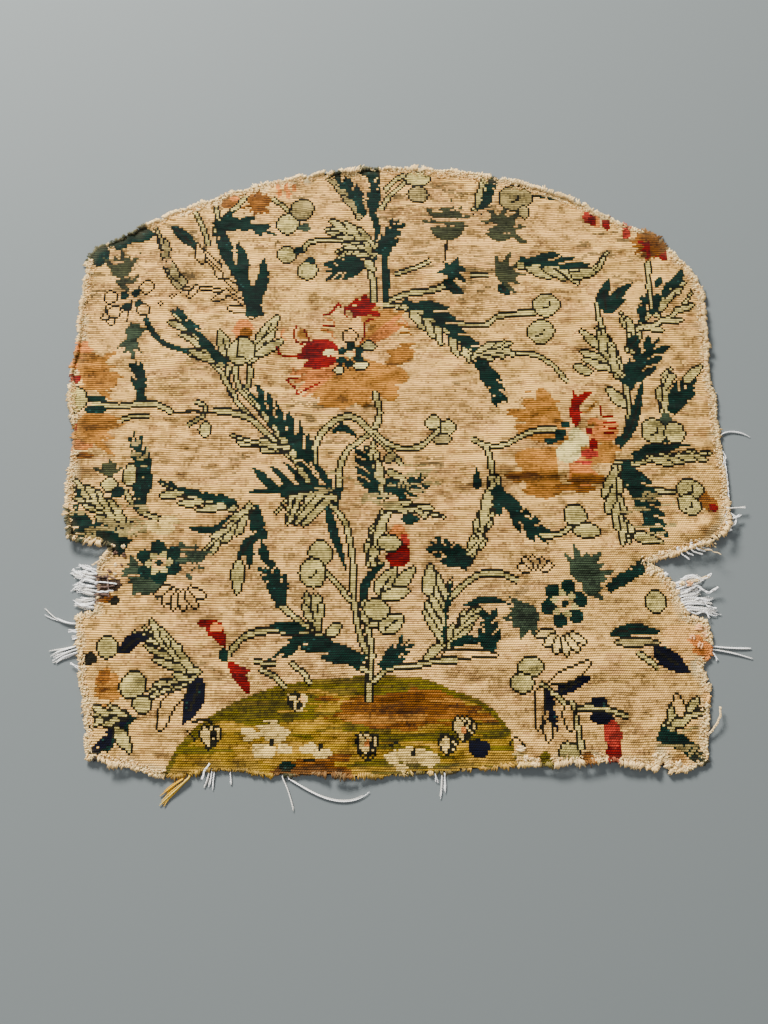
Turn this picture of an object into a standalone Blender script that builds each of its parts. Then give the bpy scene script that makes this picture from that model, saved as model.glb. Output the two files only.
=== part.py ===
"""Needlepoint seat cover, cut off its chair and lying flat.

The cloth is wool stitched over canvas: an arched top edge, two nearly straight sides, a cut on
each side near the bottom where the chair's posts stood, and two narrower wings below the cuts.
Where the canvas was cut, its bare threads have come loose and lie on the floor.

Sizes and places below are millimetres: x to the right of the middle of the cloth, up from its
bottom edge. MM turns them into Blender's metres when the meshes are made.
"""
import math
import random
from collections import namedtuple

import bmesh
import bpy
from mathutils import Matrix, Vector

MM = 0.001

# The cloth
CLOTH_THICK = 2.4
MIDDLE_UP = 300.0
CELL = 19.0

# The arched top edge: one arc to each side of its highest point
CROWN_X = 10.0
CROWN_UP = 609.0
CROWN_LEFT_RADIUS = 570.0
CROWN_LEFT_END = -296.0
CROWN_RIGHT_RADIUS = 405.0
CROWN_RIGHT_END = 236.0

# The cut edge is uneven: a point every EDGE_STEP, moved in or out by up to its stretch's rag
EDGE_STEP = 7.5
CROWN_RAG = 1.7
EDGE_SEED = 7

# Loose threads: a narrow flat strip beside the cloth's edge holds the roots
EDGE_GAP = 0.3
STRIP_WIDE = 1.6
THREAD_THICK = 1.2
THREAD_TIP = 0.55
THREAD_BEND = 7.0
FRAY_SEED = 3

# What shows of the cloth's colours when it is built plain
CAMEL = (0.70, 0.50, 0.29)
CANVAS_WHITE = (0.82, 0.78, 0.71)
YARN_YELLOW = (0.55, 0.38, 0.06)

# A corner of the outline; rag is the unevenness of the stretch that runs on from it, and a
# stretch with no rag is straight
Corner = namedtuple("Corner", "x up rag")

RIGHT_SIDE = [
    Corner(x=240, up=540, rag=1.4),
    Corner(x=264, up=532, rag=1.4),
    Corner(x=280, up=513, rag=1.2),
    Corner(x=299, up=492, rag=1.4),
    Corner(x=309, up=467, rag=1.6),
    Corner(x=307, up=372, rag=1.6),
    Corner(x=312, up=349, rag=1.2),
    Corner(x=311, up=320, rag=0.0),
    Corner(x=311, up=306, rag=1.2),
    Corner(x=314, up=270, rag=1.0),
    Corner(x=313, up=246, rag=0.0),
    Corner(x=312, up=224, rag=0.8),
]
RIGHT_CUT = [
    Corner(x=303, up=214, rag=0.6),
    Corner(x=287, up=206, rag=0.0),
    Corner(x=258, up=196, rag=0.8),
    Corner(x=229, up=189, rag=0.0),
    Corner(x=246, up=181, rag=0.8),
    Corner(x=252, up=171, rag=0.0),
    Corner(x=266, up=139, rag=0.0),
]
RIGHT_WING = [
    Corner(x=283, up=134, rag=0.8),
    Corner(x=286, up=119, rag=0.0),
    Corner(x=283, up=102, rag=1.2),
    Corner(x=273, up=92, rag=1.2),
    Corner(x=279, up=76, rag=1.4),
    Corner(x=276, up=45, rag=1.4),
    Corner(x=272, up=12, rag=1.2),
]
BOTTOM_EDGE = [
    Corner(x=254, up=3, rag=1.0),
    Corner(x=240, up=2, rag=0.0),
    Corner(x=233, up=17, rag=0.0),
    Corner(x=226, up=4, rag=1.4),
    Corner(x=189, up=12, rag=1.2),
    Corner(x=112, up=8, rag=1.4),
    Corner(x=46, up=2, rag=0.0),
    Corner(x=28, up=2, rag=1.4),
    Corner(x=-16, up=-2, rag=1.4),
    Corner(x=-92, up=0, rag=0.0),
    Corner(x=-108, up=0, rag=1.2),
    Corner(x=-142, up=4, rag=0.0),
    Corner(x=-170, up=4, rag=0.6),
    Corner(x=-180, up=1, rag=0.0),
    Corner(x=-196, up=-1, rag=1.2),
    Corner(x=-214, up=-2, rag=1.4),
    Corner(x=-238, up=7, rag=1.6),
]
LEFT_WING = [
    Corner(x=-274, up=13, rag=1.6),
    Corner(x=-281, up=59, rag=1.4),
    Corner(x=-288, up=92, rag=0.0),
    Corner(x=-295, up=138, rag=0.6),
]
LEFT_CUT = [
    Corner(x=-277, up=143, rag=0.0),
    Corner(x=-279, up=187, rag=0.6),
    Corner(x=-268, up=204, rag=1.0),
]
LEFT_SIDE = [
    Corner(x=-308, up=211, rag=1.2),
    Corner(x=-314, up=245, rag=1.6),
    Corner(x=-314, up=323, rag=1.4),
    Corner(x=-321, up=345, rag=1.6),
    Corner(x=-318, up=440, rag=1.6),
    Corner(x=-316, up=500, rag=1.0),
    Corner(x=-309, up=515, rag=1.2),
]

# A lift is a long soft hump of the cloth off the floor: its middle, its half length along turn,
# its half width across, and how high it stands
Lift = namedtuple("Lift", "x up along across turn height")

LIFTS = [
    # the crease pressed across the right half, and its fainter run to the left
    Lift(x=150, up=276, along=95, across=8, turn=2, height=5.6),
    Lift(x=30, up=266, along=70, across=9, turn=2, height=2.6),
    # the lips above the two cuts, curled up
    Lift(x=296, up=214, along=44, across=22, turn=20, height=8.5),
    Lift(x=-300, up=216, along=40, across=24, turn=-8, height=6.5),
    # broad waves of the field
    Lift(x=-150, up=405, along=120, across=34, turn=14, height=3.4),
    Lift(x=120, up=468, along=130, across=30, turn=-12, height=3.2),
    Lift(x=-40, up=205, along=120, across=28, turn=6, height=2.8),
    Lift(x=200, up=372, along=80, across=26, turn=8, height=2.8),
    Lift(x=150, up=95, along=90, across=24, turn=-7, height=2.6),
    # the rim, curled up between the places where threads have pulled loose
    Lift(x=-60, up=608, along=110, across=13, turn=4, height=3.6),
    Lift(x=160, up=584, along=80, across=13, turn=-24, height=3.8),
    Lift(x=-250, up=545, along=60, across=14, turn=21, height=3.4),
    Lift(x=308, up=420, along=52, across=13, turn=90, height=4.2),
    Lift(x=-320, up=400, along=60, across=12, turn=90, height=3.2),
    Lift(x=168, up=6, along=70, across=13, turn=-3, height=5.4),
    Lift(x=-50, up=-2, along=26, across=12, turn=0, height=4.4),
    Lift(x=-252, up=6, along=26, across=14, turn=-10, height=5.0),
]
FLAT_BELOW = 0.9

# A loose thread: its root's place along the strip, its length, its heading where it leaves the
# strip and how far it turns on the way, in degrees from +x, anticlockwise. It turns evenly at
# ease 1, mostly near its root below that and mostly near its tip above
Thread = namedtuple("Thread", "at length heading curl ease wide")

LEFT_WING_THREADS = [
    Thread(at=0.28, length=31, heading=202, curl=8, ease=1, wide=1.5),
    Thread(at=0.36, length=36, heading=200, curl=6, ease=1, wide=1.5),
    Thread(at=0.44, length=28, heading=196, curl=4, ease=1, wide=1.5),
    Thread(at=0.66, length=9, heading=176, curl=8, ease=1, wide=1.5),
    Thread(at=0.95, length=37, heading=178, curl=-44, ease=0.8, wide=1.5),
]
RIGHT_WING_THREADS = [
    Thread(at=0.40, length=49, heading=-6, curl=8, ease=1, wide=1.4),
    Thread(at=0.64, length=42, heading=-9, curl=-16, ease=2, wide=1.4),
    Thread(at=0.88, length=10, heading=-62, curl=-10, ease=1, wide=1.4),
]
RIGHT_SIDE_THREAD = [
    Thread(at=0.5, length=46, heading=52, curl=-106, ease=0.5, wide=1.2),
]
RIGHT_CORNER_THREADS = [
    Thread(at=0.22, length=20, heading=5, curl=-8, ease=1, wide=1.3),
    Thread(at=0.84, length=11, heading=18, curl=24, ease=1, wide=1.3),
]
LONG_THREADS = [
    Thread(at=0.28, length=84, heading=-30, curl=96, ease=2.4, wide=1.4),
    Thread(at=0.66, length=37, heading=-62, curl=-18, ease=1, wide=1.4),
]
WHITE_TAIL_THREADS = [
    Thread(at=0.10, length=13, heading=-84, curl=0, ease=1, wide=1.5),
    Thread(at=0.74, length=15, heading=-92, curl=-4, ease=1, wide=1.5),
    Thread(at=0.84, length=17, heading=-98, curl=-4, ease=1, wide=1.5),
    Thread(at=0.94, length=14, heading=-104, curl=-4, ease=1, wide=1.5),
]
MIDDLE_TUFT_THREADS = [
    Thread(at=0.26, length=20, heading=-88, curl=-10, ease=1, wide=1.5),
    Thread(at=0.42, length=23, heading=-94, curl=-6, ease=1, wide=1.5),
    Thread(at=0.82, length=9, heading=-80, curl=6, ease=1, wide=1.5),
]
YELLOW_TAIL_THREADS = [
    Thread(at=0.16, length=44, heading=-140, curl=14, ease=1, wide=1.6),
    Thread(at=0.62, length=31, heading=-146, curl=6, ease=1, wide=3.2),
]

# An even row of threads along a strip, fanned from its first heading to its last
Fan = namedtuple("Fan", "count short long first last wide")

LEFT_CUT_FAN = Fan(count=10, short=20, long=29, first=180, last=164, wide=1.7)
RIGHT_CUT_FAN = Fan(count=11, short=25, long=40, first=22, last=-4, wide=1.8)
RIGHT_LIP_FAN = Fan(count=5, short=9, long=19, first=-10, last=-30, wide=1.6)


def clear_scene():
    """Start from nothing."""
    for obj in list(bpy.data.objects):
        bpy.data.objects.remove(obj, do_unlink=True)


def place(x, up, z=0.0):
    """Turn a place on the cloth, in millimetres, into a point in metres."""
    return Vector((x * MM, (up - MIDDLE_UP) * MM, z * MM))


def lie(x, up):
    """Height of the cloth's underside above the floor, in millimetres."""
    total = 0.0
    for lift in LIFTS:
        turn = math.radians(lift.turn)
        dx = x - lift.x
        dy = up - lift.up
        along = (dx * math.cos(turn) + dy * math.sin(turn)) / lift.along
        across = (dy * math.cos(turn) - dx * math.sin(turn)) / lift.across
        total += lift.height * math.exp(-along * along - across * across)
    return max(0.0, total - FLAT_BELOW)


def crown():
    """Corners along the two arcs of the top edge, from the left shoulder to the right one."""
    corners = []
    x = CROWN_LEFT_END
    while x < CROWN_RIGHT_END:
        radius = CROWN_LEFT_RADIUS if x < CROWN_X else CROWN_RIGHT_RADIUS
        drop = radius - math.sqrt(radius ** 2 - (x - CROWN_X) ** 2)
        corners.append(Corner(x=x, up=CROWN_UP - drop, rag=CROWN_RAG))
        x += 4 * EDGE_STEP
    return corners


def ragged_outline():
    """Walk once round the cloth, clockwise, moving each step in or out by its stretch's rag."""
    rng = random.Random(EDGE_SEED)
    corners = (crown() + RIGHT_SIDE + RIGHT_CUT + RIGHT_WING + BOTTOM_EDGE
               + LEFT_WING + LEFT_CUT + LEFT_SIDE)
    points = []
    for here, there in zip(corners, corners[1:] + corners[:1]):
        start = Vector((here.x, here.up))
        run = Vector((there.x, there.up)) - start
        outward = Vector((-run.y, run.x)).normalized()
        steps = max(1, round(run.length / EDGE_STEP)) if here.rag else 1
        points.append(start)
        for step in range(1, steps):
            push = rng.uniform(-here.rag, here.rag)
            points.append(start + run * (step / steps) + outward * push)
    return points


def cut_into_cells(bm, points):
    """Slice the flat shape along a square grid, so that it can bend."""
    for axis, low, high in ((0, min(p.x for p in points), max(p.x for p in points)),
                            (1, min(p.y for p in points), max(p.y for p in points))):
        at = low + CELL * 0.55
        while at < high:
            co = place(at, MIDDLE_UP) if axis == 0 else place(0.0, at)
            normal = Vector((1, 0, 0)) if axis == 0 else Vector((0, 1, 0))
            everything = bm.verts[:] + bm.edges[:] + bm.faces[:]
            bmesh.ops.bisect_plane(bm, geom=everything, dist=1e-6, plane_co=co, plane_no=normal)
            at += CELL


def cloth_panel():
    """The one piece of stitched cloth: its outline, bent as it lies, given its thickness."""
    bm = bmesh.new()
    outline = ragged_outline()
    bm.faces.new([bm.verts.new(place(p.x, p.y)) for p in outline])
    cut_into_cells(bm, outline)
    for vert in bm.verts:
        vert.co.z = lie(vert.co.x / MM, vert.co.y / MM + MIDDLE_UP) * MM
    upper = bmesh.ops.extrude_face_region(bm, geom=bm.faces[:])["geom"]
    upper_verts = [item for item in upper if isinstance(item, bmesh.types.BMVert)]
    bmesh.ops.translate(bm, verts=upper_verts, vec=Vector((0, 0, CLOTH_THICK * MM)))
    bmesh.ops.recalc_face_normals(bm, faces=bm.faces[:])
    return bm


def strip_stations(threads, length):
    """Places along a strip where its outer side is split: each thread's root has a stretch."""
    stations = [0.0]
    for thread in threads:
        stations += [thread.at * length - thread.wide / 2, thread.at * length + thread.wide / 2]
    return stations + [length]


def grow_thread(bm, root, thread, outward):
    """Draw a thread out of its root face, a little narrower at each bend."""
    bends = max(3, round(thread.length / THREAD_BEND))
    first = math.degrees(math.atan2(outward.y, outward.x))
    swing = (thread.heading - first + 180.0) % 360.0 - 180.0
    headings = [first + swing * 0.5]
    headings += [thread.heading + thread.curl * (bend / bends) ** thread.ease
                 for bend in range(bends)]
    shrink = THREAD_TIP ** (1.0 / len(headings))
    face = root
    facing = first
    for number, heading in enumerate(headings):
        face = bmesh.ops.extrude_discrete_faces(bm, faces=[face])["faces"][0]
        centre = face.calc_center_median()
        spin = Matrix.Rotation(math.radians(heading - facing), 3, "Z")
        reach = thread.wide if number == 0 else thread.length / bends
        angle = math.radians(heading)
        step = Vector((math.cos(angle), math.sin(angle), 0.0)) * reach * MM
        for vert in face.verts:
            offset = spin @ (vert.co - centre)
            offset.x *= shrink
            offset.y *= shrink
            vert.co = centre + step + offset
        facing = heading


def fray(start, end, threads):
    """Loose threads and the flat strip, just off the cloth's edge, that their roots share.

    The strip runs from start to end with the cloth on its right hand."""
    a = place(*start)
    b = place(*end)
    along = (b - a).normalized()
    outward = Vector((-along.y, along.x, 0.0))
    near = outward * EDGE_GAP * MM
    far = outward * (EDGE_GAP + STRIP_WIDE) * MM
    base = lie((start[0] + end[0]) / 2, (start[1] + end[1]) / 2)
    low = Vector((0, 0, base * MM))
    high = Vector((0, 0, (base + THREAD_THICK) * MM))
    bm = bmesh.new()
    rows = []
    for station in strip_stations(threads, (b - a).length / MM):
        at = a + along * station * MM
        rows.append([bm.verts.new(at + side + level) for side, level in
                     ((near, low), (far, low), (far, high), (near, high))])
    outer = []
    for one, two in zip(rows, rows[1:]):
        for side in range(4):
            turn = (side + 1) % 4
            face = bm.faces.new((one[side], one[turn], two[turn], two[side]))
            if side == 1:
                outer.append(face)
    bm.faces.new(rows[0])
    bm.faces.new(reversed(rows[-1]))
    bmesh.ops.recalc_face_normals(bm, faces=bm.faces[:])
    for root, thread in zip(outer[1::2], threads):
        grow_thread(bm, root, thread, outward)
    return bm


def fan_threads(fan):
    """Spread an even row of threads along a strip, each of its own length."""
    rng = random.Random(FRAY_SEED)
    threads = []
    for number in range(fan.count):
        share = number / (fan.count - 1)
        threads.append(Thread(at=0.06 + 0.88 * share,
                              length=rng.uniform(fan.short, fan.long),
                              heading=fan.first + (fan.last - fan.first) * share,
                              curl=rng.uniform(-2.0, 2.0),
                              ease=1,
                              wide=fan.wide))
    return threads


def material(name, colour, roughness):
    """A plain cloth finish in one colour."""
    made = bpy.data.materials.new(name)
    made.use_nodes = True
    shader = made.node_tree.nodes["Principled BSDF"]
    shader.inputs["Base Color"].default_value = (*colour, 1.0)
    shader.inputs["Roughness"].default_value = roughness
    shader.inputs["Metallic"].default_value = 0.0
    return made


def add(name, bm, colour):
    """Make a named object of a finished mesh, with a material of its own."""
    mesh = bpy.data.meshes.new(name)
    bm.to_mesh(mesh)
    bm.free()
    mesh.materials.append(material(name + "_finish", colour, 0.95))
    obj = bpy.data.objects.new(name, mesh)
    bpy.context.scene.collection.objects.link(obj)
    return obj


def main():
    clear_scene()
    add("seat_cover_panel", cloth_panel(), CAMEL)
    # Each fray's strip lies along one straight stretch of the outline
    add("left_cut_fray", fray((-277, 144), (-279, 184), fan_threads(LEFT_CUT_FAN)), CANVAS_WHITE)
    add("right_cut_fray", fray((253, 169), (265, 142), fan_threads(RIGHT_CUT_FAN)), CANVAS_WHITE)
    add("right_lip_fray", fray((284, 205), (262, 197.4), fan_threads(RIGHT_LIP_FAN)), CANVAS_WHITE)
    add("left_wing_fray", fray((-288.45, 95), (-294.38, 134), LEFT_WING_THREADS), CANVAS_WHITE)
    add("right_wing_fray", fray((285.5, 116), (283.5, 105), RIGHT_WING_THREADS), CANVAS_WHITE)
    add("right_side_thread", fray((311, 317), (311, 309), RIGHT_SIDE_THREAD), CANVAS_WHITE)
    add("right_corner_threads", fray((313, 244), (312, 227), RIGHT_CORNER_THREADS), CANVAS_WHITE)
    add("bottom_long_threads", fray((-94, 0), (-106, 0), LONG_THREADS), CANVAS_WHITE)
    add("bottom_white_tails", fray((-146, 4), (-168, 4), WHITE_TAIL_THREADS), CANVAS_WHITE)
    add("bottom_middle_tuft", fray((44, 2), (30, 2), MIDDLE_TUFT_THREADS), CANVAS_WHITE)
    add("yellow_yarn_tail", fray((-182, 0.7), (-194, -0.7), YELLOW_TAIL_THREADS), YARN_YELLOW)


main()
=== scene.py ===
# %% [markdown]
# A needlepoint seat cover, taken off its chair and lying flat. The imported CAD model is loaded
# first, as a fixed frame: it says how large the cloth is, how it lies and where its loose
# threads are. Everything made below is placed by it, in metres.

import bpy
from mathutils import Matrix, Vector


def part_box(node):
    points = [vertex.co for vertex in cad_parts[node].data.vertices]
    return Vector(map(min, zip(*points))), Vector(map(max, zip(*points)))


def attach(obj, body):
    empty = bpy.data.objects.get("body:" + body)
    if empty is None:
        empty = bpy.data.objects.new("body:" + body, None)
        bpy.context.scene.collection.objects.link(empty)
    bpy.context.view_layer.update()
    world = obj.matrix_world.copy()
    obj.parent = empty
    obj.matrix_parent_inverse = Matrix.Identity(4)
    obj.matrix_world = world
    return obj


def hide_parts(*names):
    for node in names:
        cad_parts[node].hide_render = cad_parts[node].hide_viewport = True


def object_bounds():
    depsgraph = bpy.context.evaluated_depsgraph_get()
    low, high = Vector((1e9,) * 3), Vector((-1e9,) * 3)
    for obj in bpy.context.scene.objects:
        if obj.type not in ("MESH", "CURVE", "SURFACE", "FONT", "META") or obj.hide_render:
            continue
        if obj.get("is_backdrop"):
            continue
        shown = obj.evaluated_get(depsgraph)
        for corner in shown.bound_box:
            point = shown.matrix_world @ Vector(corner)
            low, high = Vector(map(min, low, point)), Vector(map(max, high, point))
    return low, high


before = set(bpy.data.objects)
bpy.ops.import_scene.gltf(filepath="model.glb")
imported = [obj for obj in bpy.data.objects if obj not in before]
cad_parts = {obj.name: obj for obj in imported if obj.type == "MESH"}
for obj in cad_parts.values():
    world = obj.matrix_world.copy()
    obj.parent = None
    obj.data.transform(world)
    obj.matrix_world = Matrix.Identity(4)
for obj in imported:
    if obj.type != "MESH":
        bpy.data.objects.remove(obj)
cad_box = [list(corner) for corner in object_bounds()]

import math
import random
from collections import namedtuple

import bmesh
import bpy
import numpy as np
from mathutils import Matrix, Vector
from mathutils.bvhtree import BVHTree

# The cloth is measured in millimetres, across from its middle line and up from its foot
MM = 0.001
MIDDLE_UP = 300.0


def placed(name, data):
    """A new object of a mesh, curve, lamp or camera, put in the scene."""
    item = bpy.data.objects.new(name, data)
    bpy.context.scene.collection.objects.link(item)
    return item


print("CAD box", cad_box)

# %% [markdown]
# The camera stands 0.71 m over the lower part of the cloth and leans 13 degrees towards the
# arched edge, which was worked out from the even stitch rows. A long, soft light beyond the
# arched edge rakes across the rows, so that every rib has a bright and a dark side.

# %% Camera, light and floor
CAMERA_AT = (-0.01296, -0.22726, 0.7125)
CAMERA_LEAN = 13.0
CAMERA_LENS = 27.07
ROOM_COLOUR = (0.96, 0.97, 1.0, 1.0)
ROOM_STRENGTH = 0.47
FLOOR_COLOUR = (0.122, 0.137, 0.138, 1.0)
FLOOR_HALF = 3.0
FLOOR_DOWN = 0.0004
DULL_SHINE = 0.08

camera_data = bpy.data.cameras.new("camera")
camera_data.sensor_width = 36.0
camera_data.lens = CAMERA_LENS
camera = placed("camera", camera_data)
camera.location = CAMERA_AT
camera.rotation_euler = (math.radians(CAMERA_LEAN), 0.0, 0.0)
bpy.context.scene.camera = camera


def soft_light(name, place, wide, high, power, colour):
    """A rectangular lamp turned to face the middle of the cloth."""
    data = bpy.data.lights.new(name, "AREA")
    data.shape = "RECTANGLE"
    data.size = wide
    data.size_y = high
    data.energy = power
    data.color = colour
    lamp = placed(name, data)
    lamp.location = place
    lamp.rotation_euler = (-Vector(place)).to_track_quat("-Z", "Y").to_euler()


soft_light("window_light", (-1.3, 2.5, 1.4), 1.3, 0.6, 500.0, (1.0, 0.98, 0.94))
soft_light("room_light", (-0.5, -0.7, 1.6), 1.4, 1.4, 11.0, (0.97, 0.985, 1.0))
world = bpy.data.worlds.new("room")
world.use_nodes = True
background = world.node_tree.nodes["Background"]
background.inputs["Color"].default_value = ROOM_COLOUR
background.inputs["Strength"].default_value = ROOM_STRENGTH
bpy.context.scene.world = world


def node_material(name, roughness, sheen=0.0):
    """A new material, with its node tree and its shader's fixed values."""
    material = bpy.data.materials.new(name)
    material.use_nodes = True
    nodes = material.node_tree.nodes
    shader = nodes["Principled BSDF"]
    shader.inputs["Roughness"].default_value = roughness
    shader.inputs["Specular IOR Level"].default_value = DULL_SHINE
    if sheen:
        shader.inputs["Sheen Weight"].default_value = sheen
        shader.inputs["Sheen Roughness"].default_value = 0.5
    return material, nodes, material.node_tree.links, shader


floor_bm = bmesh.new()
bmesh.ops.create_grid(floor_bm, x_segments=2, y_segments=2, size=FLOOR_HALF)
floor_mesh = bpy.data.meshes.new("floor")
floor_bm.to_mesh(floor_mesh)
floor_bm.free()
floor_mesh.transform(Matrix.Translation((0, 0, -FLOOR_DOWN)))
floor = placed("floor", floor_mesh)
floor_material, nodes, links, shader = node_material("pale_floor", 0.8)
shader.inputs["Base Color"].default_value = FLOOR_COLOUR
floor_mesh.materials.append(floor_material)
floor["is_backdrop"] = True
print("camera, two lamps and the floor")

# %% [markdown]
# The stitches are counted on a grid, like the squares of a chart: one square is one stitch,
# 2.12 mm each way. A ray is dropped through the middle of each square onto the CAD cloth. It
# says whether the stitch is on the cloth, and how high the cloth lies there. The CAD cloth is
# bent in flat cells, so its heights are blurred into one smooth lie.

# %% The stitch grid and the lie of the cloth
PITCH = 2.12
COLS, ROWS = 304, 294
LEFT, LOW = -322.0, -6.0
CLOTH_THICK = 2.4
RAY_FROM = 0.5
XX, UU = np.meshgrid(LEFT + (np.arange(COLS) + 0.5) * PITCH, LOW + (np.arange(ROWS) + 0.5) * PITCH)

panel = bmesh.new()
panel.from_mesh(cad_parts["seat_cover_panel"].data)
bmesh.ops.remove_doubles(panel, verts=panel.verts[:], dist=1e-5)
tree = BVHTree.FromBMesh(panel)
on_cloth = np.zeros((ROWS, COLS), bool)
height = np.zeros((ROWS, COLS))
for row in range(ROWS):
    for col in range(COLS):
        start = Vector((XX[row, col] * MM, (UU[row, col] - MIDDLE_UP) * MM, RAY_FROM))
        hit = tree.ray_cast(start, Vector((0, 0, -1)))[0]
        if hit is not None:
            on_cloth[row, col] = True
            height[row, col] = hit.z / MM - CLOTH_THICK


def bell(size):
    """Steps to each side and the share of each, the most in the middle."""
    reach = int(3 * size) + 1
    steps = np.arange(-reach, reach + 1)
    shares = np.exp(-0.5 * (steps / size) ** 2)
    return steps, shares / shares.sum()


def blur(field, wide, high):
    """Spread each square's value over its neighbours."""
    for axis, size in ((1, wide), (0, high)):
        total = np.zeros_like(field)
        for step, share in zip(*bell(size)):
            total += share * np.roll(field, step, axis=axis)
        field = total
    return field


CELL_WIDE, CELL_HIGH, FAR_AWAY = 2.6, 2.2, 12
cover = on_cloth.astype(float)
share = blur(cover, CELL_WIDE, CELL_HIGH)
near_height = blur(height * on_cloth, CELL_WIDE, CELL_HIGH) / np.maximum(share, 1e-3)
far_share = blur(cover, FAR_AWAY, FAR_AWAY)
far_height = blur(height * on_cloth, FAR_AWAY, FAR_AWAY) / np.maximum(far_share, 1e-3)
LIE = np.where(share > 0.02, near_height, far_height)
print("stitches on the cloth", int(on_cloth.sum()), "highest lie in mm", round(float(LIE.max()), 1))

# %% [markdown]
# The cut edge is needed twice: cut wool stands out of it, and the stitches beside it are
# faded and fluffed. Its short lines are read from the CAD cloth, where a wall meets the top,
# each with the way it faces.

# %% The cut edge
panel.normal_update()
edge_runs = []
for edge in panel.edges:
    normals = [face.normal for face in edge.link_faces]
    if len(normals) == 2:
        walls = [n for n in normals if abs(n.z) < 0.5]
        tops = [n for n in normals if n.z > 0.5]
        if walls and tops:
            a, b = (v.co / MM for v in edge.verts)
            out = Vector((walls[0].x, walls[0].y, 0)).normalized()
            edge_runs.append((a.x, a.y + MIDDLE_UP, b.x, b.y + MIDDLE_UP,
                              out.x, out.y, (a.z + b.z) / 2 - CLOTH_THICK))
panel.free()
edge_runs = np.array(edge_runs)
edge_length = np.hypot(edge_runs[:, 2] - edge_runs[:, 0], edge_runs[:, 3] - edge_runs[:, 1])


def edge_distance(x, up):
    """How far places are from the cut edge, and the nearest place on it, in millimetres."""
    best = np.full(x.shape, 1e9)
    near_x, near_up = x.copy(), up.copy()
    for ax, au, bx, bu in edge_runs[:, :4]:
        run_x, run_u = bx - ax, bu - au
        size = max(run_x ** 2 + run_u ** 2, 1e-9)
        t = np.clip(((x - ax) * run_x + (up - au) * run_u) / size, 0, 1)
        px, pu = ax + t * run_x, au + t * run_u
        far = np.hypot(x - px, up - pu)
        near = far < best
        best = np.where(near, far, best)
        near_x, near_up = np.where(near, px, near_x), np.where(near, pu, near_up)
    return best, near_x, near_up


RIM = edge_distance(XX, UU)[0]
print("the cut edge is", round(float(edge_length.sum())), "mm round, in", len(edge_runs), "lines")

# %% [markdown]
# The picture is worked from a chart. It is a flowering tree on a mound, with stems, toothed
# leaves, berries, two large blossoms and thistle-like flowers. Each kind of motif is one
# small function that fills squares by rule, and each motif is one row of a table: where it
# grows, how large it is and its yarns. The places were read off the photo, to about a
# millimetre.
#
# Each yarn has a name and the colour it has as a screen shows it. The reds and the dark
# blues have kept their strength, the pinks and greens have faded towards tan. The chart
# holds one yarn number for each square.

# %% Yarns
YARNS = {
    # the field
    "camel": (255, 199, 107), "fawn": (236, 182, 100), "worn": (212, 160, 90), "ghost": (146, 116, 66),
    # outlines and pale shapes
    "line": (24, 22, 8), "pale": (200, 180, 102), "tan": (161, 140, 81), "cream": (242, 203, 114),
    "milk": (240, 219, 134),
    # dark leaves and thistles
    "teal": (0, 34, 24), "navy": (0, 2, 22), "smoke": (51, 64, 44), "olive grey": (56, 59, 34),
    # blossoms
    "crimson": (118, 0, 0), "rose": (172, 48, 31), "coral": (208, 122, 51), "salmon": (255, 192, 104),
    "brown": (176, 116, 40), "bronze": (158, 102, 33), "rust": (130, 78, 18), "umber": (102, 57, 4),
    # the mound
    "moss": (94, 82, 3), "olive": (101, 83, 16), "gold": (153, 117, 16), "straw": (178, 134, 36),
}
NAMES = list(YARNS)


def number(yarn):
    """The number that stands for a yarn in the chart."""
    return NAMES.index(yarn)


print("yarns", len(YARNS), "squares", ROWS * COLS)

# %% [markdown]
# Nothing on hand work is exactly even. Random numbers, smoothed over a few squares, make
# streaks along the rows, broad clouds and a slow wander that bends every drawn line a
# little. Seeds are fixed, so each run gives the same cloth.

# %% Uneven hand
def smooth_noise(seed, wide, high):
    """Random hills, even over the chart, as wide and high as asked in stitches."""
    field = np.random.default_rng(seed).standard_normal((ROWS, COLS))
    for axis, size in ((1, wide), (0, high)):
        length = field.shape[axis]
        wave = np.zeros(length)
        for step, share in zip(*bell(size)):
            wave[step % length] += share
        shape = [1, 1]
        shape[axis] = -1
        spectrum = np.fft.rfft(field, axis=axis) * np.fft.rfft(wave).reshape(shape)
        field = np.fft.irfft(spectrum, n=length, axis=axis)
    return field / field.std()


def noise_mix(*layers):
    """Several noises added up, each with its weight, seed, width and height."""
    return sum(weight * smooth_noise(seed, wide, high) for weight, seed, wide, high in layers)


STREAK = smooth_noise(11, 3.2, 0.7)
BROAD = smooth_noise(12, 7, 4)
LONG = smooth_noise(13, 8, 0.75)
WOBBLE_X = smooth_noise(3, 9, 7) * 1.1
WOBBLE_U = smooth_noise(4, 9, 7) * 0.8
GX = XX + WOBBLE_X
GU = UU + WOBBLE_U
print("streaks from", round(float(STREAK.min()), 1), "to", round(float(STREAK.max()), 1))

# %% [markdown]
# A stem is given by a few points in millimetres. A smooth curve is passed through them, and
# each square near it is told how far along the curve it lies and how far to which side.
# With those two numbers any stem or leaf becomes a plain rule.

# %% Lines on the squares
def curve(points, step=1.5):
    """A smooth line through the points."""
    p = np.array(points, float)
    if len(p) == 2:
        count = max(2, int(np.hypot(*(p[1] - p[0])) / step))
        return p[0] + (p[1] - p[0]) * np.linspace(0, 1, count)[:, None]
    ends = np.vstack([2 * p[0] - p[1], p, 2 * p[-1] - p[-2]])
    out = []
    for a, b, c, d in zip(ends, ends[1:], ends[2:], ends[3:]):
        count = max(2, int(np.hypot(*(c - b)) / step))
        t = (np.arange(count) / count)[:, None]
        out.append(0.5 * (2 * b + (c - a) * t + (2 * a - 5 * b + 4 * c - d) * t ** 2
                          + (3 * b - a - 3 * c + d) * t ** 3))
    return np.vstack(out + [p[-1:]])


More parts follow.
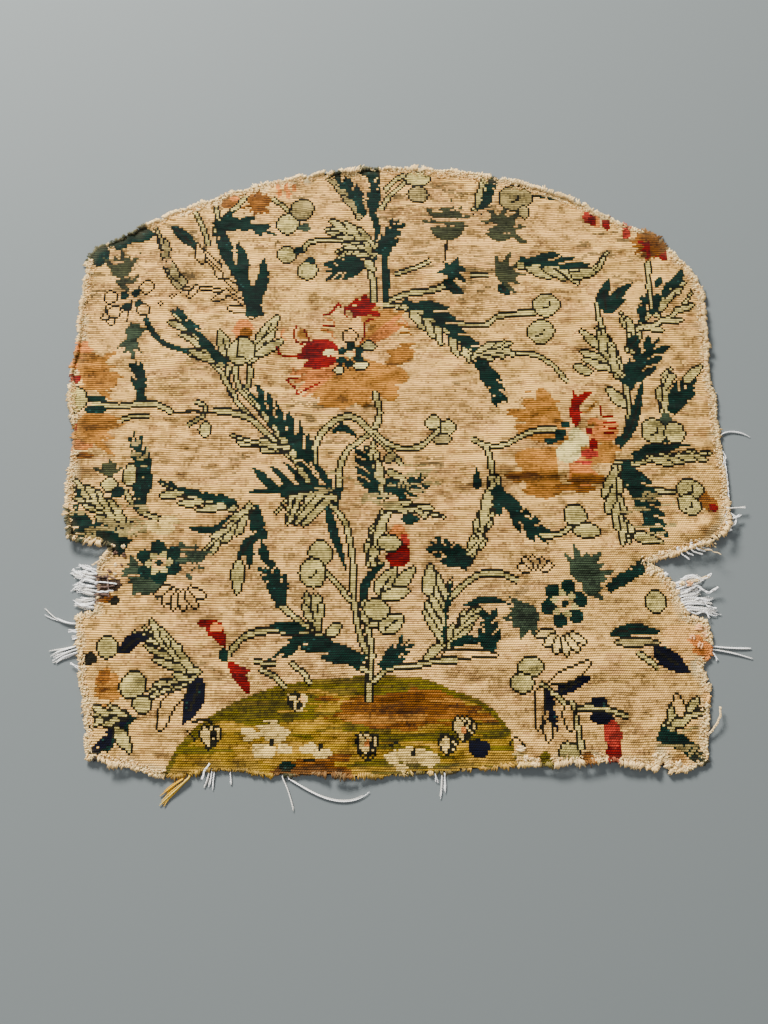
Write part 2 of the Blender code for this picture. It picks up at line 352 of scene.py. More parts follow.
def along(line, margin):
    """Window of the chart near a line, with each stitch's place along it and its side distance."""
    low = line.min(0) - margin
    high = line.max(0) + margin
    c0, c1 = (np.clip([(low[0] - LEFT) / PITCH, (high[0] - LEFT) / PITCH], 0, COLS)).astype(int)
    r0, r1 = (np.clip([(low[1] - LOW) / PITCH, (high[1] - LOW) / PITCH], 0, ROWS)).astype(int)
    window = (slice(r0, r1 + 1), slice(c0, c1 + 1))
    gx, gu = GX[window], GU[window]
    run = np.diff(line, axis=0)
    size = np.hypot(run[:, 0], run[:, 1])
    total = np.concatenate([[0], np.cumsum(size)])
    best = np.full(gx.shape, 1e9)
    place = np.zeros(gx.shape)
    side = np.zeros(gx.shape)
    for k in range(len(run)):
        dx, du = run[k] / max(size[k], 1e-9)
        rx, ru = gx - line[k, 0], gu - line[k, 1]
        t = rx * dx + ru * du
        s = ru * dx - rx * du
        inside = np.clip(t, 0, size[k])
        far = np.hypot(t - inside, s)
        near = far < best
        best = np.where(near, far, best)
        free = np.clip(t, 0 if k else -1e9, size[k] if k < len(run) - 1 else 1e9)
        place = np.where(near, total[k] + free, place)
        side = np.where(near, s, side)
    return window, place, side, best, total[-1]


print("a curve through 3 points has", len(curve([(0, 0), (20, 10), (40, 0)])), "points")

# %% [markdown]
# The stitcher outlines the pale shapes with one dark stitch, so that they stand out from
# the field, and leaves the dark ones plain. One table says which yarn has an outline.

# %% Filling squares
def grown(mask):
    """The shape and every stitch that touches its side."""
    wide = np.pad(mask, 1)
    return wide[1:-1, 1:-1] | wide[1:-1, :-2] | wide[1:-1, 2:] | wide[:-2, 1:-1] | wide[2:, 1:-1]


chart = np.zeros((ROWS, COLS), int)


def fill(window, mask, yarn, rim):
    """Stitch a shape in one yarn, with an outline one stitch wide round it if asked."""
    part = chart[window]
    if rim:
        part[grown(mask)] = number(rim)
    part[mask] = number(yarn)


EVERYWHERE = (slice(None), slice(None))
OUTLINED = {"pale": "line", "tan": "line", "cream": "line", "camel": "line"}


def in_yarns(*yarns):
    """The squares of the chart that are in these yarns."""
    return np.isin(chart, [number(yarn) for yarn in yarns])


def stitches_in(*yarns):
    """How many squares of the chart are in these yarns."""
    return int(in_yarns(*yarns).sum())


print("the chart starts with", stitches_in("camel"), "squares of field")

# %% [markdown]
# A stem is every square close to its curve. A plain leaf is widest a little below its
# middle and runs to a point at both ends, and a wide one has a dark midrib.

# %% Stems and plain leaves
def stem(points, core):
    """A pale stem with a dark outline, open at both ends."""
    window, place, side, far, total = along(curve(points), core + 8)
    inside = (place > -1) & (place < total + 1)
    body = (far < core) & inside
    chart[window][grown(body) & inside] = number("line")
    chart[window][body] = number("pale")


def stroke(points, wide, yarn="line"):
    """A plain line of one yarn."""
    window, place, side, far, total = along(curve(points), wide + 6)
    chart[window][far < wide] = number(yarn)


def leaf(points, wide, yarn, rib=False, peak=0.4):
    """A plain leaf along its midrib, base first; peak says where it is widest."""
    window, place, side, far, total = along(curve(points), wide + 8)
    u = np.clip(place / total, 0, 1)
    reach = wide * np.sin(math.pi * u ** (math.log(0.5) / math.log(peak))) ** 0.8
    mask = (np.abs(side) < reach) & (place > 0) & (place < total)
    fill(window, mask, yarn, OUTLINED.get(yarn))
    if rib:
        chart[window][mask & (far < 1.1) & (u > 0.1) & (u < 0.7)] = number("line")


print("stem, stroke and leaf are ready")

# %% [markdown]
# The large leaves are lobed like a fern or an oak. A narrow body follows the midrib, and
# pointed lobes leave it on either side, shorter towards the tip. Between dark lobes a few
# squares of the field are left, so that they part at their ends as the real ones do.

# %% Lobed leaves
def lobe(window, root, heading, long, thick, bend):
    """The mask of one pointed lobe."""
    gx, gu = GX[window] - root[0], GU[window] - root[1]
    p = gx * math.cos(heading) + gu * math.sin(heading)
    u = np.clip(p / long, 0, 1)
    q = gu * math.cos(heading) - gx * math.sin(heading) - bend * long * u ** 2
    half = 1.15 * thick * (1 - u ** 3) * (0.75 + 0.5 * u) + 0.5 * STREAK[window]
    return (np.abs(q) < half) & (p > -2) & (p < long)


def frond(points, left, right, body):
    """A lobed leaf. A side is its yarn and the number, length, angle and half width of its lobes."""
    line = curve(points)
    margin = max([spec[2] for spec in (left, right) if spec]) + 8
    window, place, side, far, total = along(line, margin)
    u = np.clip(place / total, 0, 1)
    on_line = (place > 0) & (place < total)
    sides = [(sign, *spec) for sign, spec in ((1, left), (-1, right)) if spec]
    for sign, yarn, count, long, angle, thick in sorted(sides, key=lambda row: row[1] not in OUTLINED):
        rim = OUTLINED.get(yarn)
        strip = on_line & (side * sign >= -0.4)
        reach = body * (1.12 - u)
        fill(window, strip & (far < reach), yarn, rim)
        for k in reversed(range(count)):
            at = 0.05 + 0.78 * (k + 0.25) / count
            here = min(int(at * len(line)), len(line) - 3)
            ahead = line[here + 2] - line[here]
            heading = math.atan2(ahead[1], ahead[0]) + sign * math.radians(angle)
            size = long * (1.08 - 0.45 * at)
            wide = thick * 0.88 * (1 - 0.25 * at)
            if rim is None:
                wide *= 1.1
            shape = lobe(window, line[here], heading, size, wide, -sign * 0.14)
            if rim is None:
                part = chart[window]
                slit = grown(shape) & (far > 1.1 * reach + 1) & (STREAK[window] < 1.2)
                part[slit & (part == number(yarn))] = number("camel")
            fill(window, shape, yarn, rim)
        core = 0.9 if rim is None else 0.6
        fill(window, strip & (far < core * reach), yarn, None)


print("lobe and frond are ready")

# %% [markdown]
# The other motifs need four rules: a round berry, a patch of shading with feathered edges,
# a thistle with blunt fingers, and a petal with a scalloped edge.

# %% Berries, shading, thistles and petals
def ball(x, up, rx, ru=None, yarn="pale", rim="line"):
    """A round berry or petal."""
    shape = ((GX - x) / rx) ** 2 + ((GU - up) / (ru or rx)) ** 2 < 1
    fill(EVERYWHERE, shape, yarn, rim)


def patch(x, up, rx, ru, yarn, turn=0, ragged=0.35, seed=0):
    """A patch of shading whose edge is feathered along the rows."""
    a = math.radians(turn)
    dx, du = GX - x, GU - up
    p = (dx * math.cos(a) + du * math.sin(a)) / rx
    q = (du * math.cos(a) - dx * math.sin(a)) / ru
    streaks = np.roll(STREAK, seed * 7, axis=0) * ragged * 0.5
    clouds = np.roll(BROAD, seed * 5, axis=1) * ragged * 0.4
    chart[p * p + q * q + (streaks + clouds) < 1] = number(yarn)


def fan(x, up, reach, heading, fingers, spread, yarn, wide, body=0.45):
    """A thistle-like flower: a body and blunt ragged fingers spread from it."""
    a = math.radians(heading)
    shift = 0.25 * reach if spread < 180 else 0
    mask = np.hypot(GX - x - shift * math.cos(a), GU - up - shift * math.sin(a)) < reach * body * 0.8
    for k in range(fingers):
        a = math.radians(heading + spread * (k / max(1, fingers - 1) - 0.5))
        size = reach * (1 - 0.2 * (k % 2))
        mask |= lobe(EVERYWHERE, (x, up), a, size, wide * 0.7, 0.0)
    away = np.hypot(GX - x, GU - up) / reach
    chart[mask & (STREAK * 0.5 + BROAD * 0.3 < 2.1 - away)] = number(yarn)


def petal(x, up, heading, long, half, lobes, yarn, notch):
    """A fan-shaped petal with a scalloped edge, rooted at x, up."""
    gx, gu = GX - x, GU - up
    away = np.hypot(gx, gu)
    turn = (np.degrees(np.arctan2(gu, gx)) - heading + 180) % 360 - 180
    s = np.clip((turn / half + 1) / 2, 0, 1)
    edge = long * (1 - notch + notch * np.abs(np.sin(math.pi * lobes * s)) ** 0.7)
    edge = edge * (1 - 0.22 * np.abs(2 * s - 1) ** 4) + 1.2 * STREAK
    chart[(away < edge) & (np.abs(turn) < half)] = number(yarn)


print("ball, patch, fan and petal are ready")

# %% [markdown]
# The field is one camel wool, but it has faded and worn unevenly. Short dashes of a duller
# shade, thick in some places and rare in others, give it its old look. They are worked
# first, so that every motif lies over them.

# %% Worn ground
def speckle(x, up, rx, ru, yarn, share, seed):
    """Short dashes of a yarn over part of the field; share says how thick they lie."""
    q = ((GX - x) / rx) ** 2 + ((GU - up) / ru) ** 2 + 0.5 * BROAD
    dice = np.random.default_rng(seed).random((ROWS, COLS))
    dash = np.roll(STREAK, seed * 11, axis=0) > 1.5 - share * 2.4
    chart[dash & (q < 1) & (dice < 0.85)] = number(yarn)


for row in [
    (0, 300, 330, 330, "worn", .20, 1), (20, 500, 60, 60, "worn", .5, 2),
    (-200, 380, 60, 30, "worn", .5, 3), (30, 345, 60, 50, "worn", .55, 4),
    (-180, 288, 60, 24, "worn", .45, 5), (-285, 440, 34, 46, "worn", .55, 6),
    (120, 470, 60, 40, "worn", .4, 7), (30, 286, 50, 16, "worn", .45, 8),
    (-180, 115, 50, 34, "worn", .4, 9), (230, 120, 50, 24, "worn", .4, 10),
    (-80, 570, 60, 26, "worn", .5, 11), (30, 140, 70, 50, "worn", .3, 12),
    (22, 520, 26, 24, "ghost", .5, 13), (25, 362, 34, 22, "ghost", .42, 14),
    (25, 290, 30, 12, "ghost", .42, 15), (-188, 386, 30, 18, "ghost", .4, 16),
    (-285, 475, 30, 26, "ghost", .5, 17), (-290, 425, 22, 20, "ghost", .45, 18),
    (82, 455, 24, 22, "ghost", .5, 19), (-175, 286, 34, 14, "ghost", .36, 20),
    (-175, 90, 24, 14, "ghost", .42, 21), (60, 560, 60, 30, "ghost", .42, 22),
    (-232, 500, 34, 34, "ghost", .4, 23), (-100, 556, 46, 30, "ghost", .34, 24),
    (-60, 330, 60, 26, "ghost", .3, 25), (230, 520, 40, 40, "ghost", .3, 26),
    (86, 470, 30, 30, "ghost", .4, 27),
]:
    speckle(*row)
for x, up, rx, ru in [
    (25, 518, 25, 23), (88, 522, 26, 22), (-236, 500, 22, 34), (-105, 552, 46, 30),
    (96, 458, 26, 18), (-60, 445, 30, 12), (30, 352, 50, 30), (-180, 290, 50, 26),
    (160, 540, 60, 22), (-285, 440, 24, 40), (-150, 330, 40, 30), (180, 60, 60, 16),
]:
    patch(x, up, rx, ru, "fawn", ragged=0.9, seed=rx % 9)
print("worn squares", stitches_in("fawn", "worn", "ghost"))

# %% [markdown]
# The tree grows from a mound, which is shaded in long level streaks: dark green along its
# top, gold and straw yellow lower down, and a rusty patch on the right of the stem.

# %% The mound
def mound():
    """The mound under its outline, with its streaks, patches and dark upper band."""
    top = np.interp(XX[0], [-216, -206, -196, -182, -165, -145, -110, -75, -20, 20, 48, 70, 86, 100, 108],
                    [-20, 4, 24, 42, 54, 64, 76, 84, 85, 82, 72, 66, 56, 38, -20])
    depth = top[None, :] - GU
    inside = depth > 0
    mix = LONG + 0.45 * BROAD
    chart[inside] = number("olive")
    for low, high, yarn in [(-9, -0.4, "moss"), (0.35, 1.25, "gold"), (1.25, 9, "straw")]:
        chart[inside & (mix > low) & (mix < high)] = number(yarn)
    low_part = inside & (GU < 34 + 5 * BROAD)
    chart[low_part & (mix > -0.55)] = number("gold")
    chart[low_part & (mix > 0.75)] = number("straw")
    rust = ((GX - 10) / 78) ** 2 + ((GU - 56) / 17) ** 2 + 0.3 * STREAK + 0.15 * BROAD < 1
    chart[rust & inside] = number("rust")
    chart[rust & inside & (LONG > 0.75)] = number("brown")
    chart[rust & inside & (LONG < -0.5)] = number("umber")
    left = ((GX + 118) / 44) ** 2 + ((GU - 54) / 12) ** 2 + 0.4 * STREAK < 1
    chart[left & inside & (LONG < 0.9)] = number("moss")
    foot = ((GX + 72) / 34) ** 2 + ((GU - 6) / 9) ** 2 + 0.4 * STREAK < 1
    chart[foot & inside] = number("umber")
    chart[foot & inside & (LONG > 0.2)] = number("rust")
    band = inside & (depth < 12 + 2.5 * BROAD) & ((GX < 10) | (depth < 5))
    chart[band] = number("moss")
    chart[band & (LONG > 1.0)] = number("olive")


mound()
print("squares of the mound", stitches_in("moss", "olive", "gold", "straw", "rust", "umber"))

# %% [markdown]
# The two large blossoms, and the ones that the edges cut, are shaded in browns, pinks and
# coral. Each petal is a row of the table: where it is rooted, the way it points, how long
# and wide it is, how many scallops it has and its yarn. Patches shade them over.

# %% Large blossoms
ONE = (-47, 397)
TWO = (166, 300)
for row in [
    (*ONE, 268, 60, 48, 5, "brown", .14), (*ONE, 325, 66, 22, 2, "brown", .14),
    (*ONE, 12, 54, 30, 3, "salmon", .16), (*ONE, 48, 74, 12, 2, "brown", .2),
    (*ONE, 38, 68, 9, 2, "coral", .3), (*ONE, 90, 46, 20, 2, "salmon", .1),
    (*ONE, 190, 66, 18, 3, "salmon", .3), (*ONE, 160, 70, 12, 2, "salmon", .3),
    (*ONE, 203, 64, 10, 2, "coral", .3), (*ONE, 221, 64, 10, 2, "coral", .35),
]:
    petal(*row)
for row in [
    (*TWO, 122, 66, 20, 2, "brown", .2), (*TWO, 150, 62, 18, 2, "brown", .26),
    (*TWO, 205, 56, 24, 2, "brown", .14), (*TWO, 236, 58, 20, 2, "brown", .16),
    (*TWO, 290, 46, 24, 3, "coral", .16), (*TWO, 338, 46, 24, 2, "brown", .14),
    (*TWO, 34, 40, 24, 2, "coral", .1), (*TWO, 46, 56, 14, 2, "camel", .1),
]:
    petal(*row)
for row in [
    (-52, 346, 24, 4, "bronze", 4, 1.2, 1), (-64, 352, 16, 3, "bronze", 0, 1.2, 2),
    (5, 397, 14, 8, "bronze", 20, 1.0, 3), (-79, 438, 12, 7, "worn", 0, .9, 22),
    (-94, 419, 5, 6, "brown", 0, .3, 4), (-24, 440, 12, 7, "brown", 20, .6, 22),
    (142, 350, 18, 8, "bronze", -10, 1.5, 5), (114, 332, 10, 6, "bronze", 0, 1.4, 6),
    (134, 270, 22, 5, "bronze", -2, .8, 8), (122, 271, 14, 1.8, "umber", -2, 1.0, 8),
    (140, 254, 15, 5, "bronze", 0, 1.1, 7), (184, 268, 18, 4, "rust", 0, .9, 10),
    (176, 258, 18, 4, "rust", 0, 1.1, 9), (198, 279, 11, 7, "camel", 0, .3, 12),
    (196, 318, 17, 12, "coral", -20, .6, 13), (200, 298, 14, 11, "brown", -20, .6, 14),
    # the blossom that the left edge cuts
    (-312, 396, 12, 17, "coral", 0, .35, 11), (-300, 386, 20, 12, "brown", -20, .7, 12),
    (-288, 372, 18, 10, "bronze", 0, .6, 13), (-296, 364, 16, 7, "brown", 10, .7, 14),
    (-290, 326, 20, 10, "bronze", 5, .6, 15), (-300, 314, 16, 10, "brown", 0, .6, 16),
    (-308, 302, 14, 6, "coral", 0, .5, 17), (-302, 292, 10, 3, "rust", 0, .5, 18),
    # flowers that the curved edge cuts
    (-142, 570, 12, 9, "rust", -10, .4, 19), (-146, 574, 8, 5, "umber", -10, .5, 20),
    (-172, 568, 9, 7, "rust", 10, .5, 21), (-168, 572, 5, 4, "coral", 0, .3, 22),
    (-262, 76, 10, 14, "brown", 10, .7, 23), (-266, 82, 6, 8, "rust", 10, .7, 24),
    (295, 245, 8, 11, "rust", 0, .35, 25), (297, 240, 4, 5, "crimson", 0, .3, 26),
    (264, 113, 21, 17, "salmon", 20, .9, 27), (277, 108, 8, 11, "coral", 20, 1.4, 27),
    (280, 66, 8, 8, "salmon", 0, .6, 28), (167, 14, 5, 4, "rust", 0, .2, 28),
]:
    patch(*row)
for row in [
    (-308, 380, 44, -8, 5, 80, "brown", 5), (-308, 318, 44, 8, 5, 90, "brown", 5),
    (-306, 374, 32, 0, 4, 60, "bronze", 4), (-304, 322, 32, 0, 4, 70, "bronze", 4),
    (-142, 570, 19, 270, 6, 130, "rust", 3.6), (-142, 568, 18, 90, 5, 160, "rust", 4),
    (258, 518, 21, 265, 9, 200, "rust", 3.8), (256, 520, 19, 100, 7, 150, "rust", 4),
    (262, 517, 17, 290, 7, 250, "crimson", 3.8), (-34, 446, 18, 100, 6, 230, "crimson", 5),
]:
    fan(*row)
for x, up in [(-123, 588), (-115, 586), (-107, 584), (-121, 578), (-112, 577)]:
    ball(x, up, 2.6, 5, "coral", None)
for x, up, yarn in [
    (197, 552, "rose"), (207, 547, "coral"), (217, 543, "crimson"), (236, 533, "rose"),
    (203, 549, "crimson"),
]:
    ball(x, up - 2, 4.4, 7, yarn, None)
print("squares of blossom", stitches_in("brown", "bronze", "coral", "salmon", "rust"))

# %% [markdown]
# The stems are pale with a dark outline. Each row holds the points that the stem follows
# and its half width, in millimetres from the middle of the cloth and up from its foot.
# They come before the leaves, which cover their ends.

# %% Stems
STEMS = [
    ([(-24, 62), (-26, 95), (-34, 120), (-38, 150), (-40, 180), (-43, 205), (-50, 226),
     (-64, 244)], 1.7),
    ([(-24, 80), (-25, 110), (-28, 135), (-29, 160), (-24, 176), (-16, 188)], 1.6),
    ([(-57, 252), (-56, 280), (-48, 298), (-34, 310), (-22, 322), (-17, 338), (-20, 357)], 1.9),
    ([(-80, 283), (-78, 305), (-66, 322), (-50, 331), (-38, 328), (-22, 312), (-6, 294), (3, 284)],
     1.9),
    ([(-24, 318), (-10, 305), (5, 301), (20, 303), (32, 312), (38, 320)], 1.7),
    ([(-72, 252), (-84, 270), (-96, 292), (-114, 317), (-132, 336), (-152, 358), (-158, 378),
     (-157, 392)], 1.6),
    ([(-96, 282), (-108, 296), (-122, 312), (-140, 330), (-160, 352), (-166, 372), (-164, 386)], 1.6),
    ([(-298, 345), (-272, 343), (-256, 346), (-240, 346), (-226, 340), (-219, 336)], 1.9),
    ([(-180, 338), (-160, 336), (-142, 330), (-126, 315)], 1.9),
    ([(-198, 346), (-189, 343), (-189, 333), (-196, 328), (-202, 323)], 1.2),
    ([(-268, 329), (-255, 333), (-243, 333)], 1.2),
    ([(-204, 398), (-186, 393), (-173, 380), (-166, 365), (-158, 352)], 1.6),
    ([(-145, 392), (-143, 376), (-146, 360)], 1.4),
    ([(62, 431), (90, 431), (104, 439), (138, 441)], 1.6),
    ([(104, 398), (122, 398), (140, 396), (156, 386), (170, 368)], 1.5),
    ([(-14, 454), (8, 463), (34, 467), (50, 474), (66, 492)], 1.7),
    ([(-14, 452), (6, 450), (20, 444), (32, 434)], 1.7),
    ([(70, 309), (85, 301), (103, 302), (120, 313), (135, 318), (152, 318)], 1.6),
    ([(84, 300), (90, 286), (94, 264)], 1.6),
    ([(226, 318), (226, 345), (222, 372), (216, 398), (208, 412)], 1.9),
    ([(201, 458), (199, 436), (204, 418)], 1.3),
    ([(232, 416), (246, 430), (258, 446), (257, 470), (257, 500)], 1.7),
    ([(210, 284), (235, 285), (248, 296), (262, 312)], 1.6),
    ([(-258, 258), (-250, 245), (-236, 234), (-220, 228)], 1.6),
    ([(-66, 180), (-55, 170), (-41, 155)], 1.6),
    ([(44, 148), (58, 165), (76, 177), (95, 178), (110, 172)], 1.8),
    ([(-155, 104), (-141, 120), (-120, 127), (-95, 126), (-80, 124)], 1.8),
    ([(-112, 152), (-92, 135), (-64, 116), (-44, 101), (-27, 88)], 1.7),
    ([(-131, 98), (-112, 97)], 1.2),
    ([(-125, 91), (-112, 85), (-100, 75)], 1.4),
    ([(-97, 98), (-86, 90), (-77, 81)], 1.4),
    ([(-22, 79), (-8, 91), (15, 93), (35, 97), (52, 98)], 1.6),
    ([(135, 216), (152, 217), (164, 225)], 1.3),
    ([(128, 78), (145, 66), (158, 56), (178, 57), (203, 50)], 1.6),
    ([(156, 62), (160, 40), (162, 22)], 1.6),
    ([(-30, 515), (-55, 522), (-88, 521), (-97, 511)], 1.3),
    ([(-24, 455), (-24, 480), (-26, 505)], 2.0),
    ([(-24, 560), (-23, 606)], 1.6),
    ([(-18, 558), (-8, 574), (8, 590)], 1.6),
    ([(-14, 580), (0, 594), (10, 598)], 1.6),
    ([(75, 484), (94, 484)], 1.0),
    ([(-2, 483), (16, 490), (35, 499)], 1.3),
    ([(-192, 518), (-198, 536), (-207, 553)], 1.5),
    ([(-186, 530), (-184, 548), (-187, 562)], 1.3),
    ([(-186, 540), (-170, 556), (-155, 576)], 1.8),
    ([(240, 258), (266, 256)], 1.3),
    ([(-127, 572), (-105, 552)], 1.3),
    ([(217, 104), (235, 92)], 1.5),
]
for points, core in STEMS:
    stem(points, core)
for points, wide, yarn in [
    ([(-218, 337), (-200, 337), (-180, 336)], 1.1, "line"), ([(143, 576), (166, 571)], 1.3, "teal"),
    ([(53, 536), (52, 500)], 1.4, "line"), ([(-268, 462), (-269, 434)], 1.3, "line"),
    ([(-250, 436), (-240, 421), (-228, 409), (-212, 402), (-198, 399)], 2.8, "teal"),
    ([(-12, 458), (-11, 480), (-12, 505)], 3.2, "teal"),
    ([(-24, 500), (-20, 530), (-26, 560)], 3.8, "teal"),
]:
    stroke(points, wide, yarn)
print("stems", len(STEMS))

# %% [markdown]
# The lobed leaves grow from the stems in pairs of yarns, teal on the shaded side and pale
# on the lit side. Each row has the midrib, the two sides and the half width of the body. A
# side is its yarn and the number, length, angle and half width of its lobes.

